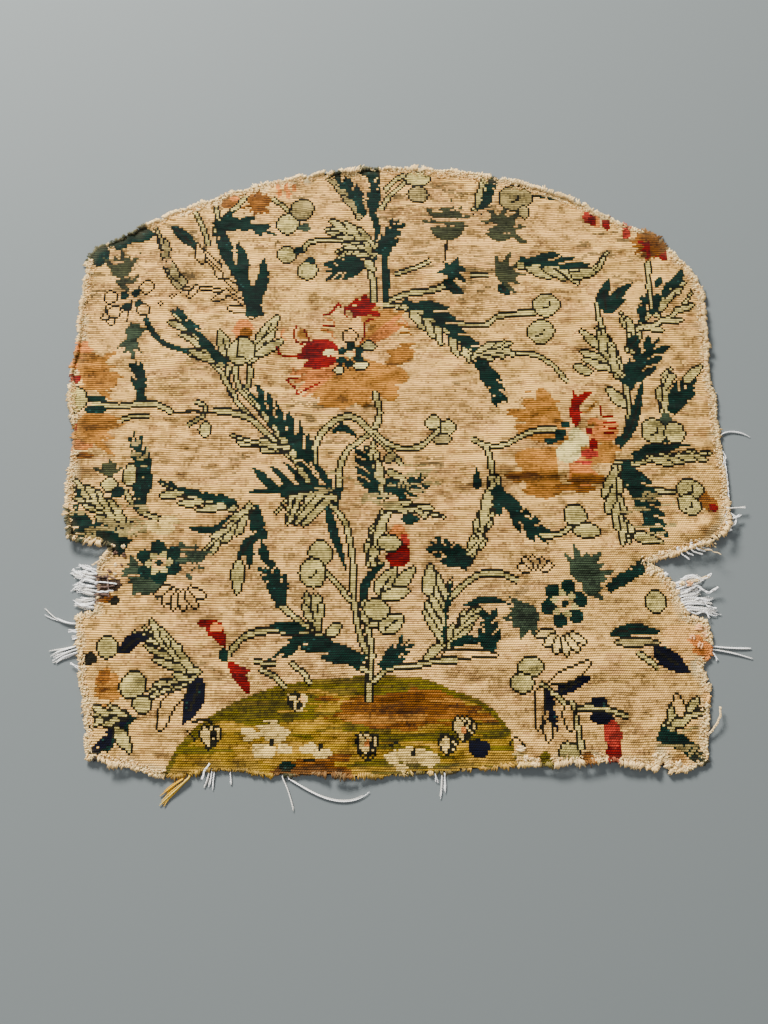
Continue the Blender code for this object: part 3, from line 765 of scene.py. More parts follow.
# %% Leaves of the tree
T, P, G, N, C, W = "teal", "pale", "tan", "navy", "camel", "ghost"
FRONDS = [
    # the upper left
    ([(-145, 436), (-160, 458), (-185, 469), (-215, 471), (-238, 453)], (C, 3, 20, 62, 3.4), None, 2.6),
    ([(-160, 472), (-178, 488), (-194, 506), (-214, 529)], (C, 1, 14, 30, 4), (C, 1, 20, 40, 4), 5),
    ([(-218, 474), (-232, 490), (-240, 512), (-250, 538)], (G, 1, 14, 12, 3), (G, 2, 22, 24, 4), 5.5),
    ([(-143, 438), (-148, 458), (-162, 484), (-178, 508), (-186, 532)], (T, 1, 14, 10, 4),
     (T, 3, 54, 30, 7), 8),
    ([(-186, 536), (-168, 544), (-148, 541), (-122, 530)], (T, 3, 22, 34, 4.2), (T, 3, 18, 38, 4), 7),
    ([(-168, 387), (-186, 402), (-204, 422), (-226, 447)], (P, 3, 30, 30, 3.4), (T, 3, 40, 18, 4.6), 5),
    ([(-252, 350), (-255, 370), (-256, 393)], (T, 2, 24, 22, 3.4), (T, 2, 24, 22, 3.4), 4.5),
    # the trunk and the dark sprays on the left
    ([(-84, 266), (-100, 300), (-122, 328), (-150, 362)], (P, 2, 12, 20, 3), (T, 6, 40, 34, 4.8), 8),
    ([(-54, 250), (-84, 256), (-112, 258), (-142, 256)], (T, 2, 16, 40, 4), (T, 5, 42, 54, 4.6), 9),
    ([(-58, 250), (-82, 253), (-104, 249), (-116, 236)], (P, 5, 38, 64, 3.6), None, 5),
    ([(-152, 242), (-180, 250), (-205, 257), (-229, 268)], (P, 3, 30, 36, 3.8), (T, 5, 16, 30, 4), 6),
    ([(-104, 300), (-126, 303), (-146, 308), (-164, 315)], (P, 2, 24, 20, 3), (P, 1, 18, 26, 3), 3.5),
    ([(-243, 240), (-246, 275), (-256, 316)], (T, 4, 30, 22, 3.8), (T, 4, 30, 26, 3.8), 5),
    ([(-137, 243), (-134, 226), (-130, 206)], (T, 2, 18, 24, 4), (T, 2, 22, 26, 4), 6),
    ([(-138, 243), (-152, 228), (-168, 214), (-186, 198)], (P, 3, 26, 26, 3.2), (P, 2, 20, 22, 3), 3.5),
    # the left edge
    ([(-252, 200), (-275, 214), (-298, 226), (-318, 240)], (T, 4, 30, 38, 5), (T, 4, 26, 36, 4.6), 9),
    ([(-250, 222), (-276, 238), (-300, 252), (-312, 260)], (P, 3, 26, 28, 3.2), (P, 4, 32, 30, 3.4), 4),
    # lower left
    ([(-32, 97), (-62, 112), (-88, 119), (-118, 100)], (T, 3, 30, 34, 4.6), (T, 3, 16, 26, 4), 7),
    ([(-180, 86), (-202, 102), (-232, 128)], (P, 3, 38, 26, 3), (P, 3, 36, 26, 3), 4),
    ([(-182, 82), (-204, 80), (-226, 70)], (P, 3, 18, 34, 2.8), (P, 2, 16, 28, 2.8), 3),
    ([(-108, 148), (-112, 160), (-124, 184)], (T, 3, 24, 28, 4), (T, 3, 26, 30, 4), 6),
    ([(-76, 126), (-78, 142), (-80, 164)], (P, 2, 24, 30, 3.6), (P, 2, 22, 30, 3.6), 4),
    ([(-238, 52), (-250, 34), (-268, 12)], (T, 2, 16, 34, 4), (N, 3, 22, 30, 4.4), 6),
    ([(-240, 50), (-256, 52), (-274, 50)], (P, 2, 20, 46, 3.2), (P, 2, 16, 36, 3), 3.6),
    # upper middle
    ([(-22, 514), (-40, 526), (-58, 534), (-76, 536)], (P, 3, 24, 34, 3.6), (P, 3, 22, 30, 3.6), 5),
    ([(-22, 504), (-36, 514), (-52, 514), (-64, 508)], (P, 3, 22, 44, 3.2), (P, 2, 18, 30, 3.2), 3.6),
    ([(-28, 494), (-46, 492), (-72, 488)], (T, 3, 26, 36, 4.4), (T, 3, 26, 36, 4.4), 6),
    ([(-36, 550), (-50, 574), (-74, 602)], (G, 3, 26, 24, 4), (T, 3, 34, 24, 4.8), 6),
    ([(-26, 550), (-27, 580), (-30, 606)], (T, 2, 22, 22, 3.6), (T, 3, 28, 24, 4), 4),
    ([(-14, 506), (-8, 526), (2, 548)], (T, 3, 22, 32, 4.6), (T, 3, 22, 34, 4.6), 7),
    ([(84, 556), (92, 578), (103, 602)], (P, 3, 30, 22, 4), (T, 3, 28, 22, 4.6), 6),
    ([(4, 454), (30, 442), (56, 420), (92, 388)], (T, 5, 36, 26, 5.4), (P, 5, 30, 44, 3.8), 5),
    ([(80, 391), (92, 370), (101, 344)], (T, 3, 26, 26, 4.4), (T, 3, 26, 26, 4.4), 6),
    ([(74, 396), (92, 400), (118, 404)], (P, 3, 24, 30, 3.2), (P, 3, 22, 34, 3.2), 3.6),
    # the upper right
    ([(124, 500), (150, 497), (172, 491), (190, 486)], (T, 3, 36, 28, 5), (P, 3, 34, 40, 4.4), 6),
    ([(176, 484), (198, 487), (214, 508)], (P, 1, 14, 10, 4), (P, 1, 14, 10, 4), 5),
    ([(246, 430), (248, 446), (254, 464)], (T, 2, 16, 22, 3.6), (T, 2, 14, 20, 3.4), 4),
    ([(259, 438), (266, 452), (284, 478)], (T, 2, 22, 20, 4), (P, 3, 30, 26, 3.6), 5),
    ([(238, 423), (262, 430), (284, 446), (300, 470)], None, (P, 3, 22, 34, 3.4), 4),
    ([(224, 364), (240, 386), (262, 412)], (T, 3, 24, 36, 4.6), (T, 3, 34, 36, 4.8), 7),
    ([(218, 374), (210, 388), (202, 402), (197, 424)], (P, 3, 32, 44, 4), (P, 2, 24, 32, 4), 4),
    ([(230, 398), (234, 416), (222, 440)], (P, 2, 22, 24, 3.4), (P, 2, 18, 24, 3.4), 4),
    ([(262, 336), (264, 356), (272, 382)], (P, 2, 22, 20, 3.2), (P, 2, 22, 24, 3.2), 3.6),
    ([(268, 336), (280, 350), (296, 362)], (T, 3, 30, 32, 4.4), (T, 2, 18, 28, 4), 5),
    ([(226, 290), (256, 300), (286, 304)], (T, 3, 20, 28, 3.8), (T, 2, 14, 20, 3.6), 5),
    ([(240, 289), (270, 292), (304, 294)], (P, 2, 16, 20, 3.2), (P, 4, 22, 28, 3.2), 3),
    # right and middle right
    ([(214, 284), (226, 262), (236, 236), (242, 204)], (T, 6, 32, 40, 5), (T, 3, 18, 30, 4), 9),
    ([(211, 282), (208, 256), (212, 228), (216, 202)], (P, 3, 20, 30, 3.4), (P, 4, 30, 28, 3.6), 4),
    ([(94, 272), (90, 250), (80, 222), (66, 186)], (P, 3, 22, 22, 3.4), (P, 4, 42, 20, 3.6), 5),
    ([(94, 262), (106, 240), (142, 208)], (T, 4, 28, 36, 4.6), (T, 3, 24, 32, 4.4), 6),
    ([(66, 186), (50, 196), (30, 208)], (T, 3, 24, 34, 4.6), (T, 3, 22, 34, 4.6), 6),
    # the dark tuft in the middle
    ([(-14, 248), (-22, 268), (-32, 304)], (T, 4, 30, 36, 4.6), (P, 3, 34, 26, 3.4), 6),
    ([(-12, 262), (6, 262), (28, 270)], (T, 3, 20, 32, 4.4), (T, 4, 24, 40, 4.8), 7),
    ([(-10, 240), (14, 240), (44, 231)], (P, 2, 20, 24, 3.4), (P, 2, 16, 26, 3), 4),
    # low, in the middle
    ([(42, 112), (44, 136), (50, 176)], (P, 5, 34, 44, 3.4), (T, 2, 14, 20, 3.4), 4.2),
    ([(44, 108), (56, 126), (76, 152)], (P, 2, 20, 28, 3), (P, 3, 30, 26, 3.2), 3.6),
    ([(-16, 92), (-6, 102), (8, 117)], (T, 2, 20, 34, 4), (T, 3, 20, 34, 4), 5),
    ([(82, 104), (84, 122), (86, 146)], (T, 3, 20, 32, 3.8), (T, 3, 22, 34, 3.8), 4),
    ([(-24, 184), (-24, 208), (-14, 240)], (P, 2, 14, 20, 3.4), (P, 2, 18, 26, 3.6), 4),
    # lower right
    ([(192, 164), (212, 176), (234, 190)], (T, 3, 18, 24, 3.6), (T, 2, 20, 20, 3.4), 4.5),
    ([(236, 38), (256, 50), (280, 56)], (P, 2, 24, 44, 4), (P, 1, 14, 30, 3.4), 5),
    ([(230, 36), (250, 26), (270, 10)], (T, 3, 20, 26, 4), (T, 2, 16, 26, 4), 7),
    ([(130, 74), (136, 58), (142, 36)], (N, 2, 14, 22, 4), (N, 2, 14, 20, 4), 5),
]
for points, left, right, body in FRONDS:
    frond(points, left, right, body)
print("lobed leaves", len(FRONDS), "teal squares", stitches_in("teal"))

# %% [markdown]
# Small plain leaves fill the gaps. A row has the midrib, the half width and the yarn.

# %% Plain leaves
LEAVES = [
    ([(-232, 537), (-216, 526), (-200, 512)], 6, T), ([(-142, 404), (-118, 441)], 6, P),
    ([(-146, 388), (-122, 424)], 5.5, P), ([(-166, 396), (-178, 426)], 6, P),
    ([(-140, 396), (-112, 414)], 4.5, P), ([(-244, 262), (-238, 296)], 5, T),
    ([(-198, 221), (-175, 219), (-158, 232)], 3.2, T), ([(-138, 213), (-152, 192)], 6, T),
    ([(-130, 205), (-122, 184)], 4.6, T), ([(-140, 203), (-139, 183)], 4, T),
    ([(-150, 192), (-149, 157)], 5, P), ([(-66, 242), (-60, 218), (-46, 180)], 4.6, T),
    ([(-62, 316), (-52, 321), (-38, 311)], 3.4, T), ([(4, 228), (24, 230)], 5, T),
    ([(-30, 154), (-26, 174), (-11, 189)], 4.4, T), ([(-16, 160), (-2, 184)], 8, P),
    ([(-2, 166), (16, 184)], 5, P), ([(-14, 158), (12, 164)], 5, P),
    ([(-26, 132), (-18, 152)], 10, P), ([(-16, 126), (4, 142)], 8, P),
    ([(-66, 122), (-52, 134)], 4.4, P), ([(-10, 276), (8, 268)], 3.4, P),
    ([(-4, 296), (-14, 286)], 4, G), ([(78, 258), (78, 280)], 4, T),
    ([(-28, 598), (-46, 605)], 5, T), ([(46, 476), (66, 462)], 6, T),
    ([(104, 474), (114, 459)], 6, T), ([(-32, 500), (-22, 486)], 4, P),
    ([(192, 378), (176, 386)], 4, P), ([(213, 299), (228, 325), (235, 345), (243, 374)], 5.5, T),
    ([(230, 402), (241, 415)], 6, T), ([(222, 344), (205, 362)], 5, P),
    ([(284, 366), (302, 385)], 4, P), ([(220, 215), (247, 205)], 5, P),
    ([(28, 158), (30, 188)], 5, P), ([(48, 112), (64, 117), (80, 115)], 4.4, T),
    ([(40, 112), (22, 98)], 4, P), ([(62, 149), (85, 154), (106, 148)], 3.2, T),
    ([(40, 104), (92, 104)], 3.2, C), ([(-86, 128), (-118, 132)], 5, T),
    ([(-178, 84), (-184, 65), (-193, 45)], 9, N), ([(-190, 74), (-205, 62), (-213, 36)], 5, C),
    ([(-250, 40), (-236, 18)], 5, P), ([(-254, 104), (-240, 116), (-226, 118)], 7, N),
    ([(128, 76), (124, 38)], 4, C), ([(152, 60), (154, 36)], 4, C),
    ([(142, 70), (158, 78), (173, 84)], 6, N), ([(138, 80), (158, 88), (174, 98)], 5, C),
    ([(252, 50), (250, 70)], 4.6, C), ([(193, 122), (216, 126), (240, 122)], 6, T),
    ([(198, 114), (238, 113)], 3, G), ([(230, 108), (246, 98), (266, 88)], 8, N),
    ([(134, 46), (133, 26)], 3.6, C), ([(108, 156), (122, 168)], 4, W),
    ([(-20, 200), (-14, 226), (-4, 238)], 4, P), ([(-198, 498), (-204, 520)], 4, C),
    ([(280, 470), (292, 492)], 5, T), ([(264, 470), (270, 482)], 3.6, T),
    ([(207, 438), (207, 458), (214, 479)], 7, T), ([(209, 438), (222, 460), (240, 474)], 6.4, T),
    ([(209, 440), (220, 452), (231, 456)], 5, T),
]
WITH_RIB = 5.4
for points, wide, yarn in LEAVES:
    leaf(points, wide, yarn, rib=wide > WITH_RIB)
print("plain leaves", len(LEAVES))

# %% [markdown]
# Crimson is kept for the hearts and the edges of the blossoms. The broad strokes are leaves
# without an outline, the thin ones are lines a stitch wide.

# %% Crimson and coral
for points, wide, yarn in [
    ([(-59, 405), (-80, 405), (-98, 402)], 10, "crimson"),
    ([(-64, 400), (-86, 399), (-105, 396)], 6, "crimson"),
    ([(-66, 398), (-84, 392), (-96, 385)], 6, "crimson"),
    ([(-60, 394), (-76, 390), (-86, 383)], 6, "crimson"),
    ([(172, 320), (175, 338), (174, 359)], 4.4, "crimson"),
    ([(175, 341), (182, 351), (192, 357)], 3.4, "crimson"),
    ([(172, 328), (168, 342)], 3.4, "crimson"), ([(276, 500), (264, 524)], 5, "crimson"),
    ([(-184, 134), (-160, 132)], 4, "crimson"),
    ([(-176, 134), (-164, 124), (-156, 111)], 6.4, "crimson"),
    ([(-172, 130), (-158, 128)], 4, "coral"), ([(-154, 97), (-144, 86), (-133, 69)], 6, "crimson"),
    ([(-150, 90), (-134, 90)], 4, "crimson"), ([(190, 10), (190, 34)], 6.6, "crimson"),
    ([(191, 22), (188, 50)], 8, "rose"),
]:
    leaf(points, wide, yarn)
for points, yarn in [
    ([(-86, 412), (-98, 410), (-103, 417), (-100, 427)], "crimson"),
    ([(-92, 424), (-88, 413)], "crimson"),
    ([(-119, 405), (-117, 399), (-106, 396)], "crimson"),
    ([(-112, 424), (-116, 419), (-112, 413)], "coral"),
    ([(-72, 441), (-65, 443), (-61, 449), (-57, 453), (-55, 449)], "crimson"),
    ([(-50, 438), (-52, 446), (-46, 451), (-43, 453)], "crimson"),
    ([(-72, 428), (-63, 428)], "crimson"),
    ([(-71, 436), (-63, 434), (-62, 430)], "coral"),
    ([(-76, 423), (-66, 422), (-63, 415)], "coral"),
    ([(-26, 437), (-33, 432), (-34, 420), (-38, 411)], "crimson"),
    ([(-104, 384), (-100, 380), (-92, 384)], "coral"),
    ([(-108, 371), (-104, 366), (-99, 362), (-97, 355), (-91, 360), (-84, 364), (-76, 369)], "crimson"),
    ([(-107, 372), (-99, 373)], "crimson"),
    ([(2, 440), (10, 432), (14, 424)], "coral"),
    ([(4, 422), (16, 420)], "rust"),
    ([(0, 432), (12, 428)], "rust"),
    ([(198, 344), (199, 334), (210, 333)], "crimson"),
    ([(200, 327), (211, 326)], "crimson"),
    ([(200, 321), (211, 320)], "crimson"),
    ([(200, 315), (209, 315)], "crimson"),
    ([(194, 347), (188, 340), (180, 335)], "bronze"),
    ([(157, 288), (158, 266)], "camel"),
    ([(184, 322), (192, 326)], "bronze"),
]:
    stroke(points, 1.1 if yarn != "camel" else 3, yarn)
for row in [
    (2, 214, 8, 9, "coral"), (6, 208, 5, 6, "rose"), (-4, 192, 10, 8, "crimson"),
    (5, 196, 6, 11, "crimson"), (185, 317, 4, 4, "crimson"), (189, 303, 5, 6, "crimson"),
    (185, 292, 9, 5, "rose"), (180, 284, 8, 2, "rose"), (-316, 319, 5, 7, "crimson"),
    (-316, 371, 5, 4, "crimson"), (-154, 424, 9, 9, "coral"), (-152, 420, 6, 6, "rust"),
    (270, 531, 3, 3, "teal"), (268, 517, 9, 11, "umber"),
]:
    patch(*row, ragged=.3, seed=3)
print("crimson squares", stitches_in("crimson"))

# %% [markdown]
# Flowers like thistles are worked in smoky greens: a round body with blunt fingers. Small
# dark spots mark where leaves meet the stems.

# %% Thistles and dark spots
for x, up, rx, ru, yarn in [
    (-295, 350, 9, 4, "teal"), (-295, 339, 10, 4, "teal"), (-318, 455, 6, 3, "line"),
    (-304, 254, 4, 5, "teal"), (-264, 256, 6, 5, "teal"), (157, 312, 5, 6, "teal"),
    (148, 307, 6, 4, "teal"), (163, 323, 5, 4, "teal"), (-158, 104, 4, 6, "teal"),
    (-283, 98, 8, 6, "line"), (180, 61, 6, 5, "navy"), (181, 47, 10, 6, "navy"),
    (70, 21, 9, 8, "navy"), (-262, 152, 6, 4, "line"), (-306, 509, 8, 13, "teal"),
    (-267, 530, 16, 8, "teal"), (-288, 522, 13, 7, "teal"), (-95, 538, 6, 5, "smoke"),
    (262, 328, 7, 7, "smoke"), (214, 307, 5, 4, "teal"), (114, 8, 6, 5, "teal"),
    (130, 13, 6, 6, "moss"), (-96, 8, 8, 5, "teal"), (26, 20, 7, 4, "moss"),
]:
    patch(x, up, rx, ru, yarn, ragged=.4, seed=int(abs(x)) % 9)
for row in [
    (-276, 274, 18, 95, 5, 130, "olive grey", 3.4, .5),
    (-282, 486, 30, 95, 5, 80, "olive grey", 4.6, .45),
    (-274, 470, 20, 100, 4, 90, "olive grey", 4, .4), (-260, 420, 14, 90, 4, 120, "smoke", 5, .7),
    (-260, 416, 22, 262, 4, 80, "smoke", 4, .4), (54, 534, 40, 100, 6, 110, "olive grey", 5, .6),
    (54, 546, 24, 40, 4, 100, "olive grey", 4.2, .5),
    (108, 538, 32, 60, 6, 190, "olive grey", 4.8, .6),
    (104, 484, 30, 20, 6, 150, "olive grey", 4.4, .45),
    (58, 487, 18, 100, 6, 290, "teal", 4.6, .42), (-196, 192, 20, 20, 5, 200, "smoke", 6, .75),
    (-230, 176, 26, 250, 6, 150, "smoke", 6, .62), (-240, 180, 16, 180, 4, 120, "smoke", 5, .6),
    (122, 140, 26, 205, 6, 130, "smoke", 5.4, .6), (166, 176, 32, 62, 6, 110, "smoke", 5, .5),
    (172, 166, 22, 10, 4, 90, "smoke", 4.6, .5),
]:
    fan(*row)
patch(-271, 155, 7, 4, "umber", ragged=1.0, seed=2)
for row in [
    (2, 266, 34, 26, "tan", .45, 31), (240, 238, 24, 36, "tan", .3, 32),
    (-50, 258, 30, 16, "tan", .34, 33), (-282, 222, 34, 20, "tan", .34, 34),
    (262, 26, 26, 18, "tan", .34, 35), (-250, 250, 14, 60, "tan", .3, 36),
    (60, 545, 60, 30, "worn", .3, 37), (-215, 180, 40, 24, "worn", .3, 38),
    (-262, 470, 30, 50, "worn", .34, 39),
]:
    speckle(*row)
print("smoky squares", stitches_in("smoke", "olive grey"))

# %% [markdown]
# A round flower is a ring of dark balls with pale dots between them.

# %% Round flowers
for x, up, far, size, first, count, yarn in [
    (-47, 397, 9.6, 4.6, 90, 6, "teal"), (-222, 189, 14, 7, 100, 6, "teal"),
    (152, 150, 15, 7.2, 75, 6, "teal"), (-268, 458, 9, 4.6, 60, 4, "teal"),
]:
    for k in range(count):
        a = math.radians(first + k * 360 / count)
        ball(x + far * math.cos(a), up + far * math.sin(a), size, None, yarn, None)
    if far > 12:
        ball(x, up, 3.4, None, yarn, None)
        for k in range(count):
            a = math.radians(first + (k + 0.5) * 360 / count)
            ball(x + far * 0.62 * math.cos(a), up + far * 0.62 * math.sin(a), 3.4, None, "pale", None)
ball(-47, 397, 3.0, None, "milk", None)
for x, up, rx, ru, yarn, rim in [
    (-48, 418, 6, 6.4, "salmon", "line"), (-30, 407, 6.4, 4.6, "milk", "line"),
    (-36, 385, 6.6, 3.6, "milk", "line"), (-57, 381, 4.6, 3.6, "milk", "line"),
    (-68, 401, 6, 3.8, "milk", None),
]:
    ball(x, up, rx, ru, yarn, rim)
print("milk-white squares", stitches_in("milk"))

# %% [markdown]
# The berries are pale balls with a dark outline, and a few have a small hooked mark.

# %% Berries
for row in [
    (150, 449, 12.5, 11.5), (144, 421, 12.5, 11.5), (33, 327, 6.6, 6.6), (47, 321, 6.6, 6.6),
    (248, 317, 11.5, 12), (268, 315, 9, 10), (168, 234, 9.5, 9), (176, 220, 11, 6),
    (280, 259, 12, 9), (276, 243, 10, 10), (238, 152, 9, 10), (-72, 196, 11, 10),
    (-80, 179, 12, 12), (-237, 77, 11, 11), (-228, 60, 7, 7), (118, 93, 11, 8), (111, 79, 10, 8),
    (151, 17, 8.5, 8.5), (-112, 543, 10, 11), (21, 594, 12, 8), (-113, 507, 9, 9),
    (-92, 489, 10, 9), (-186, 319, 5, 7), (-274, 264, 7, 6), (-256, 273, 6, 10), (-266, 109, 9, 9),
    (-154, 402, 13, 14), (-318, 350, 14, 13), (-19, 147, 10, 9), (-8, 206, 10, 7),
]:
    ball(*row)
for x, up, rx, ru in [
    (20, 576, 9, 8), (-98, 558, 11, 11), (124, 573, 17, 15), (133, 556, 5, 7), (42, 309, 9, 4.4),
]:
    ball(x, up, rx, ru, "tan")
for x, up, rx, ru in [(165, 294, 12, 11), (172, 312, 8, 8), (178, 307, 7, 6), (168, 303, 8, 6)]:
    ball(x, up, rx, ru, "milk", None)
for x, up in [(150, 449), (144, 421), (248, 317), (280, 259), (276, 243), (-80, 179), (124, 573)]:
    stroke([(x - 4, up - 4), (x + 2, up - 2), (x + 3, up + 3)], 1.0)
stroke([(-158, 418), (-158, 398), (-148, 394)], 1.0)
patch(-101, 512, 5, 4, "teal", ragged=.05)
patch(-89, 501, 5, 4, "teal", ragged=.05)
print("pale squares", stitches_in("pale"))

# %% [markdown]
# Cream flowers are scattered over the mound, small ragged patches with a dark eye, and
# others that open like a fan.

# %% Cream flowers
for x, up, size, seed in [
    (-90, 66, 12, 1), (-88, 58, 8, 2), (-131, 36, 12, 3), (-112, 38, 17, 4), (-120, 22, 12, 5),
    (-100, 24, 9, 6), (-76, 24, 11, 7), (-62, 18, 8, 8), (-4, 14, 9, 1), (12, 17, 14, 2),
    (28, 12, 10, 3), (2, 5, 8, 4), (106, 20, 10, 5), (112, 10, 8, 6), (-222, 222, 11, 7),
    (-216, 228, 8, 8), (-232, 226, 7, 1),
]:
    patch(x, up, size * 0.8, size * 0.5, "cream", ragged=0.9, seed=seed)
for x, up, long, heading, count in [
    (-170, 26, 18, 82, 3), (-27, 18, 17, 88, 3), (58, 30, 20, 88, 4), (42, 20, 12, 70, 3),
    (-90, 60, 11, 90, 3),
]:
    for k in range(count):
        a = math.radians(heading + 44 * (k / (count - 1) - 0.5))
        tip = (x + long * math.cos(a), up + long * math.sin(a))
        leaf([(x, up - 3), tip], 4.2, "cream", peak=0.6)
for x, up, yarn in [
    (-114, 29, "line"), (-66, 24, "line"), (58, 38, "coral"), (-27, 26, "coral"), (14, 18, "line"),
    (-84, 66, "salmon"), (-94, 62, "line"),
]:
    ball(x, up, 2.4, 3.0, yarn, None)
for points in [
    [(-186, 46), (-174, 50), (-166, 44), (-164, 26)], [(-190, 40), (-182, 30)],
    [(-36, 34), (-34, 18), (-27, 10), (-20, 18), (-18, 34)], [(-8, 24), (0, 28)],
    [(36, 28), (40, 34), (48, 30)], [(98, 26), (104, 32), (112, 22)], [(-80, 14), (-70, 12)],
]:
    stroke(points, 1.0)
print("cream squares", stitches_in("cream"))

# %% [markdown]
# Some flowers are left in the colour of the field and only outlined.

# %% Flowers in thin lines
for x, up, reach, heading, count, spread, yarn in [
    (-200, 172, 28, 268, 6, 110, "camel"), (128, 178, 18, 95, 5, 120, "camel"),
    (150, 128, 26, 262, 6, 130, "cream"), (-284, 442, 12, 200, 3, 120, "camel"),
]:
    for k in range(count):
        a = math.radians(heading + spread * (k / (count - 1) - 0.5))
        tip = (x + reach * math.cos(a), up + reach * math.sin(a))
        base = (x + 0.3 * (tip[0] - x), up + 0.3 * (tip[1] - up))
        leaf([base, tip], 3.4, yarn, peak=0.55)
for x, up, r in [(-290, 460, 6), (-253, 472, 6), (-284, 444, 6), (-254, 447, 6)]:
    ball(x, up, r, r, "camel")
print("outline squares", stitches_in("line"))

# %% [markdown]
# Yarn numbers become colours here. Wool takes dye unevenly, and years of light fade it. So
# each stitch differs a little from its neighbour, each row has long streaks where one length
# of yarn ran out and the next began, and the field is warmer in the middle.

# %% Colours of the stitches
def linear(colour, share=0.72):
    """Turn a colour as a screen shows it into shares of light sent back, as dull as old wool."""
    c = np.array(colour, float) / 255
    return share * np.where(c <= 0.04045, c / 12.92, ((c + 0.055) / 1.055) ** 2.4)


# The second share says how dark the painted shade along the crease is.
PINK_SHARE, CREASE_SHADE_SHARE = 0.3, 0.42
FLUFF_WIDE, FLUFF_ON_FIELD, FLUFF_ON_MOTIFS = 8.5, 0.8, 0.05
BRIGHTEST, DARKEST = 0.8, 0.0015

dice = np.random.default_rng(21)
palette = np.array([linear(colour) for colour in YARNS.values()])
colour = palette[chart]
ground = in_yarns("camel", "fawn", "worn", "ghost")
specks = in_yarns("teal", "navy") & (dice.random(chart.shape) < 0.02)
colour[specks] = linear((24, 62, 56))
worn = linear((168, 120, 62))
pink = linear((255, 200, 126))
wear = noise_mix((0.16, 31, 14, 9), (0.24, 32, 1.8, 0.9), (0.24, 36, 1.2, 1.2))
wear_map = np.clip(wear + 0.1, 0, 0.85)[..., None]
low_middle = np.exp(-((XX + 10) / 190) ** 2 - ((UU - 130) / 110) ** 2)[..., None]
plain = in_yarns("camel")[..., None]
mixed = np.where(plain, colour * (1 - wear_map) + worn * wear_map, colour)
mixed = mixed * (1 - PINK_SHARE * low_middle) + pink * PINK_SHARE * low_middle
colour = np.where(ground[..., None], mixed, colour)
pucker = noise_mix((0.9, 41, 12, 6), (0.6, 42, 4.5, 2.2), (0.3, 47, 2, 1))
# Each stitch's tone differs at random, and the pucker term is painted shade in the puckers' hollows and
# painted light on their rises.
tone_and_pucker_shade = 1.0 + 0.2 * dice.standard_normal(chart.shape) + 0.08 * pucker
tone_and_pucker_shade = tone_and_pucker_shade + noise_mix((0.19, 33, 2, 0.5), (0.15, 34, 1.6, 1.2))
colour = colour * np.clip(tone_and_pucker_shade, 0.35, 1.6)[..., None]
fluff = np.clip(1 - RIM / FLUFF_WIDE + 0.25 * smooth_noise(35, 2, 2), 0, 0.9)[..., None]
fluff = fluff * on_cloth[..., None]
cream_edge = linear((252, 222, 158))
fluff_share = np.where(ground[..., None], FLUFF_ON_FIELD, FLUFF_ON_MOTIFS) * fluff
colour = colour * (1 - fluff_share) + cream_edge * fluff_share
# Painted shade: the stitches are darkened in a soft line along the crease across the middle, where its
# lower side falls in shade.
crease = np.interp(XX, [38, 75, 110, 150, 205], [259, 263, 271, 270, 261])
painted_crease_shade = np.exp(-((UU - crease) / 3.2) ** 2)
painted_crease_shade = painted_crease_shade * np.clip((XX - 34) / 14, 0, 1) * np.clip((214 - XX) / 14, 0, 1)
colour = colour * (1 - CREASE_SHADE_SHARE * painted_crease_shade[..., None])
colour = colour * np.minimum(1, BRIGHTEST / colour.max(axis=2, keepdims=True)) + DARKEST
print("coloured", int(on_cloth.sum()), "stitches from", len(YARNS), "yarns")

# %% [markdown]
# Each stitch is two small faces, one above the other: the row is low at its two edges and
# high along its middle, which makes the ribs. The rows wander a little, as they do on a
# cloth that has been pulled, and no two stitches are quite the same height.

# %% Shape of the rows
RIB = 0.62
UNDER_STITCHES = 0.9
FLAT_RIM = 14
floor_level = np.clip(LIE + UNDER_STITCHES + pucker, 0.0, None) * np.clip(RIM / FLAT_RIM, 0.25, 1)
wander_x = 0.55 * smooth_noise(43, 16, 12)
wander_up = noise_mix((0.55, 44, 22, 8), (0.22, 45, 4, 3))
stitch_height = 0.2 * dice.standard_normal(chart.shape)
bare = ((XX + 271) / 13) ** 2 + ((UU - 168) / 11) ** 2 + 0.75 * STREAK + 0.5 * BROAD < 0.8
worked = on_cloth & ~bare


def corner_values(field):
    """Values at the corners of the squares, from the squares round each corner."""
    padded = np.pad(field, 1, mode="edge")
    return (padded[:-1, :-1] + padded[:-1, 1:] + padded[1:, :-1] + padded[1:, 1:]) / 4


def side_values(field):
    """Values at the middle of the squares' left and right sides."""
    padded = np.pad(field, ((0, 0), (1, 1)), mode="edge")
    return (padded[:, :-1] + padded[:, 1:]) / 2


def two_levels(field):
    """Rows of corners and rows of middles, one after the other."""
    out = np.empty((2 * ROWS + 1, COLS + 1))
    out[0::2] = corner_values(field)
    out[1::2] = side_values(field)
    return out


level = two_levels(floor_level)
level[0::2] += CLOTH_THICK - RIB
level[1::2] += CLOTH_THICK + side_values(stitch_height)
grid_x = LEFT + np.arange(COLS + 1)[None, :] * PITCH + two_levels(wander_x)
grid_up = LOW + np.arange(2 * ROWS + 1)[:, None] * PITCH / 2 + two_levels(wander_up)


def square_grid(wanted, split=1):
    """A flat grid with a face for each wanted square, or a few faces one above the other."""
    rows, cols = wanted.shape
    bm = bmesh.new()
    bmesh.ops.create_grid(bm, x_segments=cols, y_segments=rows * split, size=0.5)
    unwanted = []
    for face in bm.faces:
        centre = face.calc_center_median()
        if not wanted[int((centre.y + 0.5) * rows), int((centre.x + 0.5) * cols)]:
            unwanted.append(face)
    bmesh.ops.delete(bm, geom=unwanted, context="FACES")
    return bm


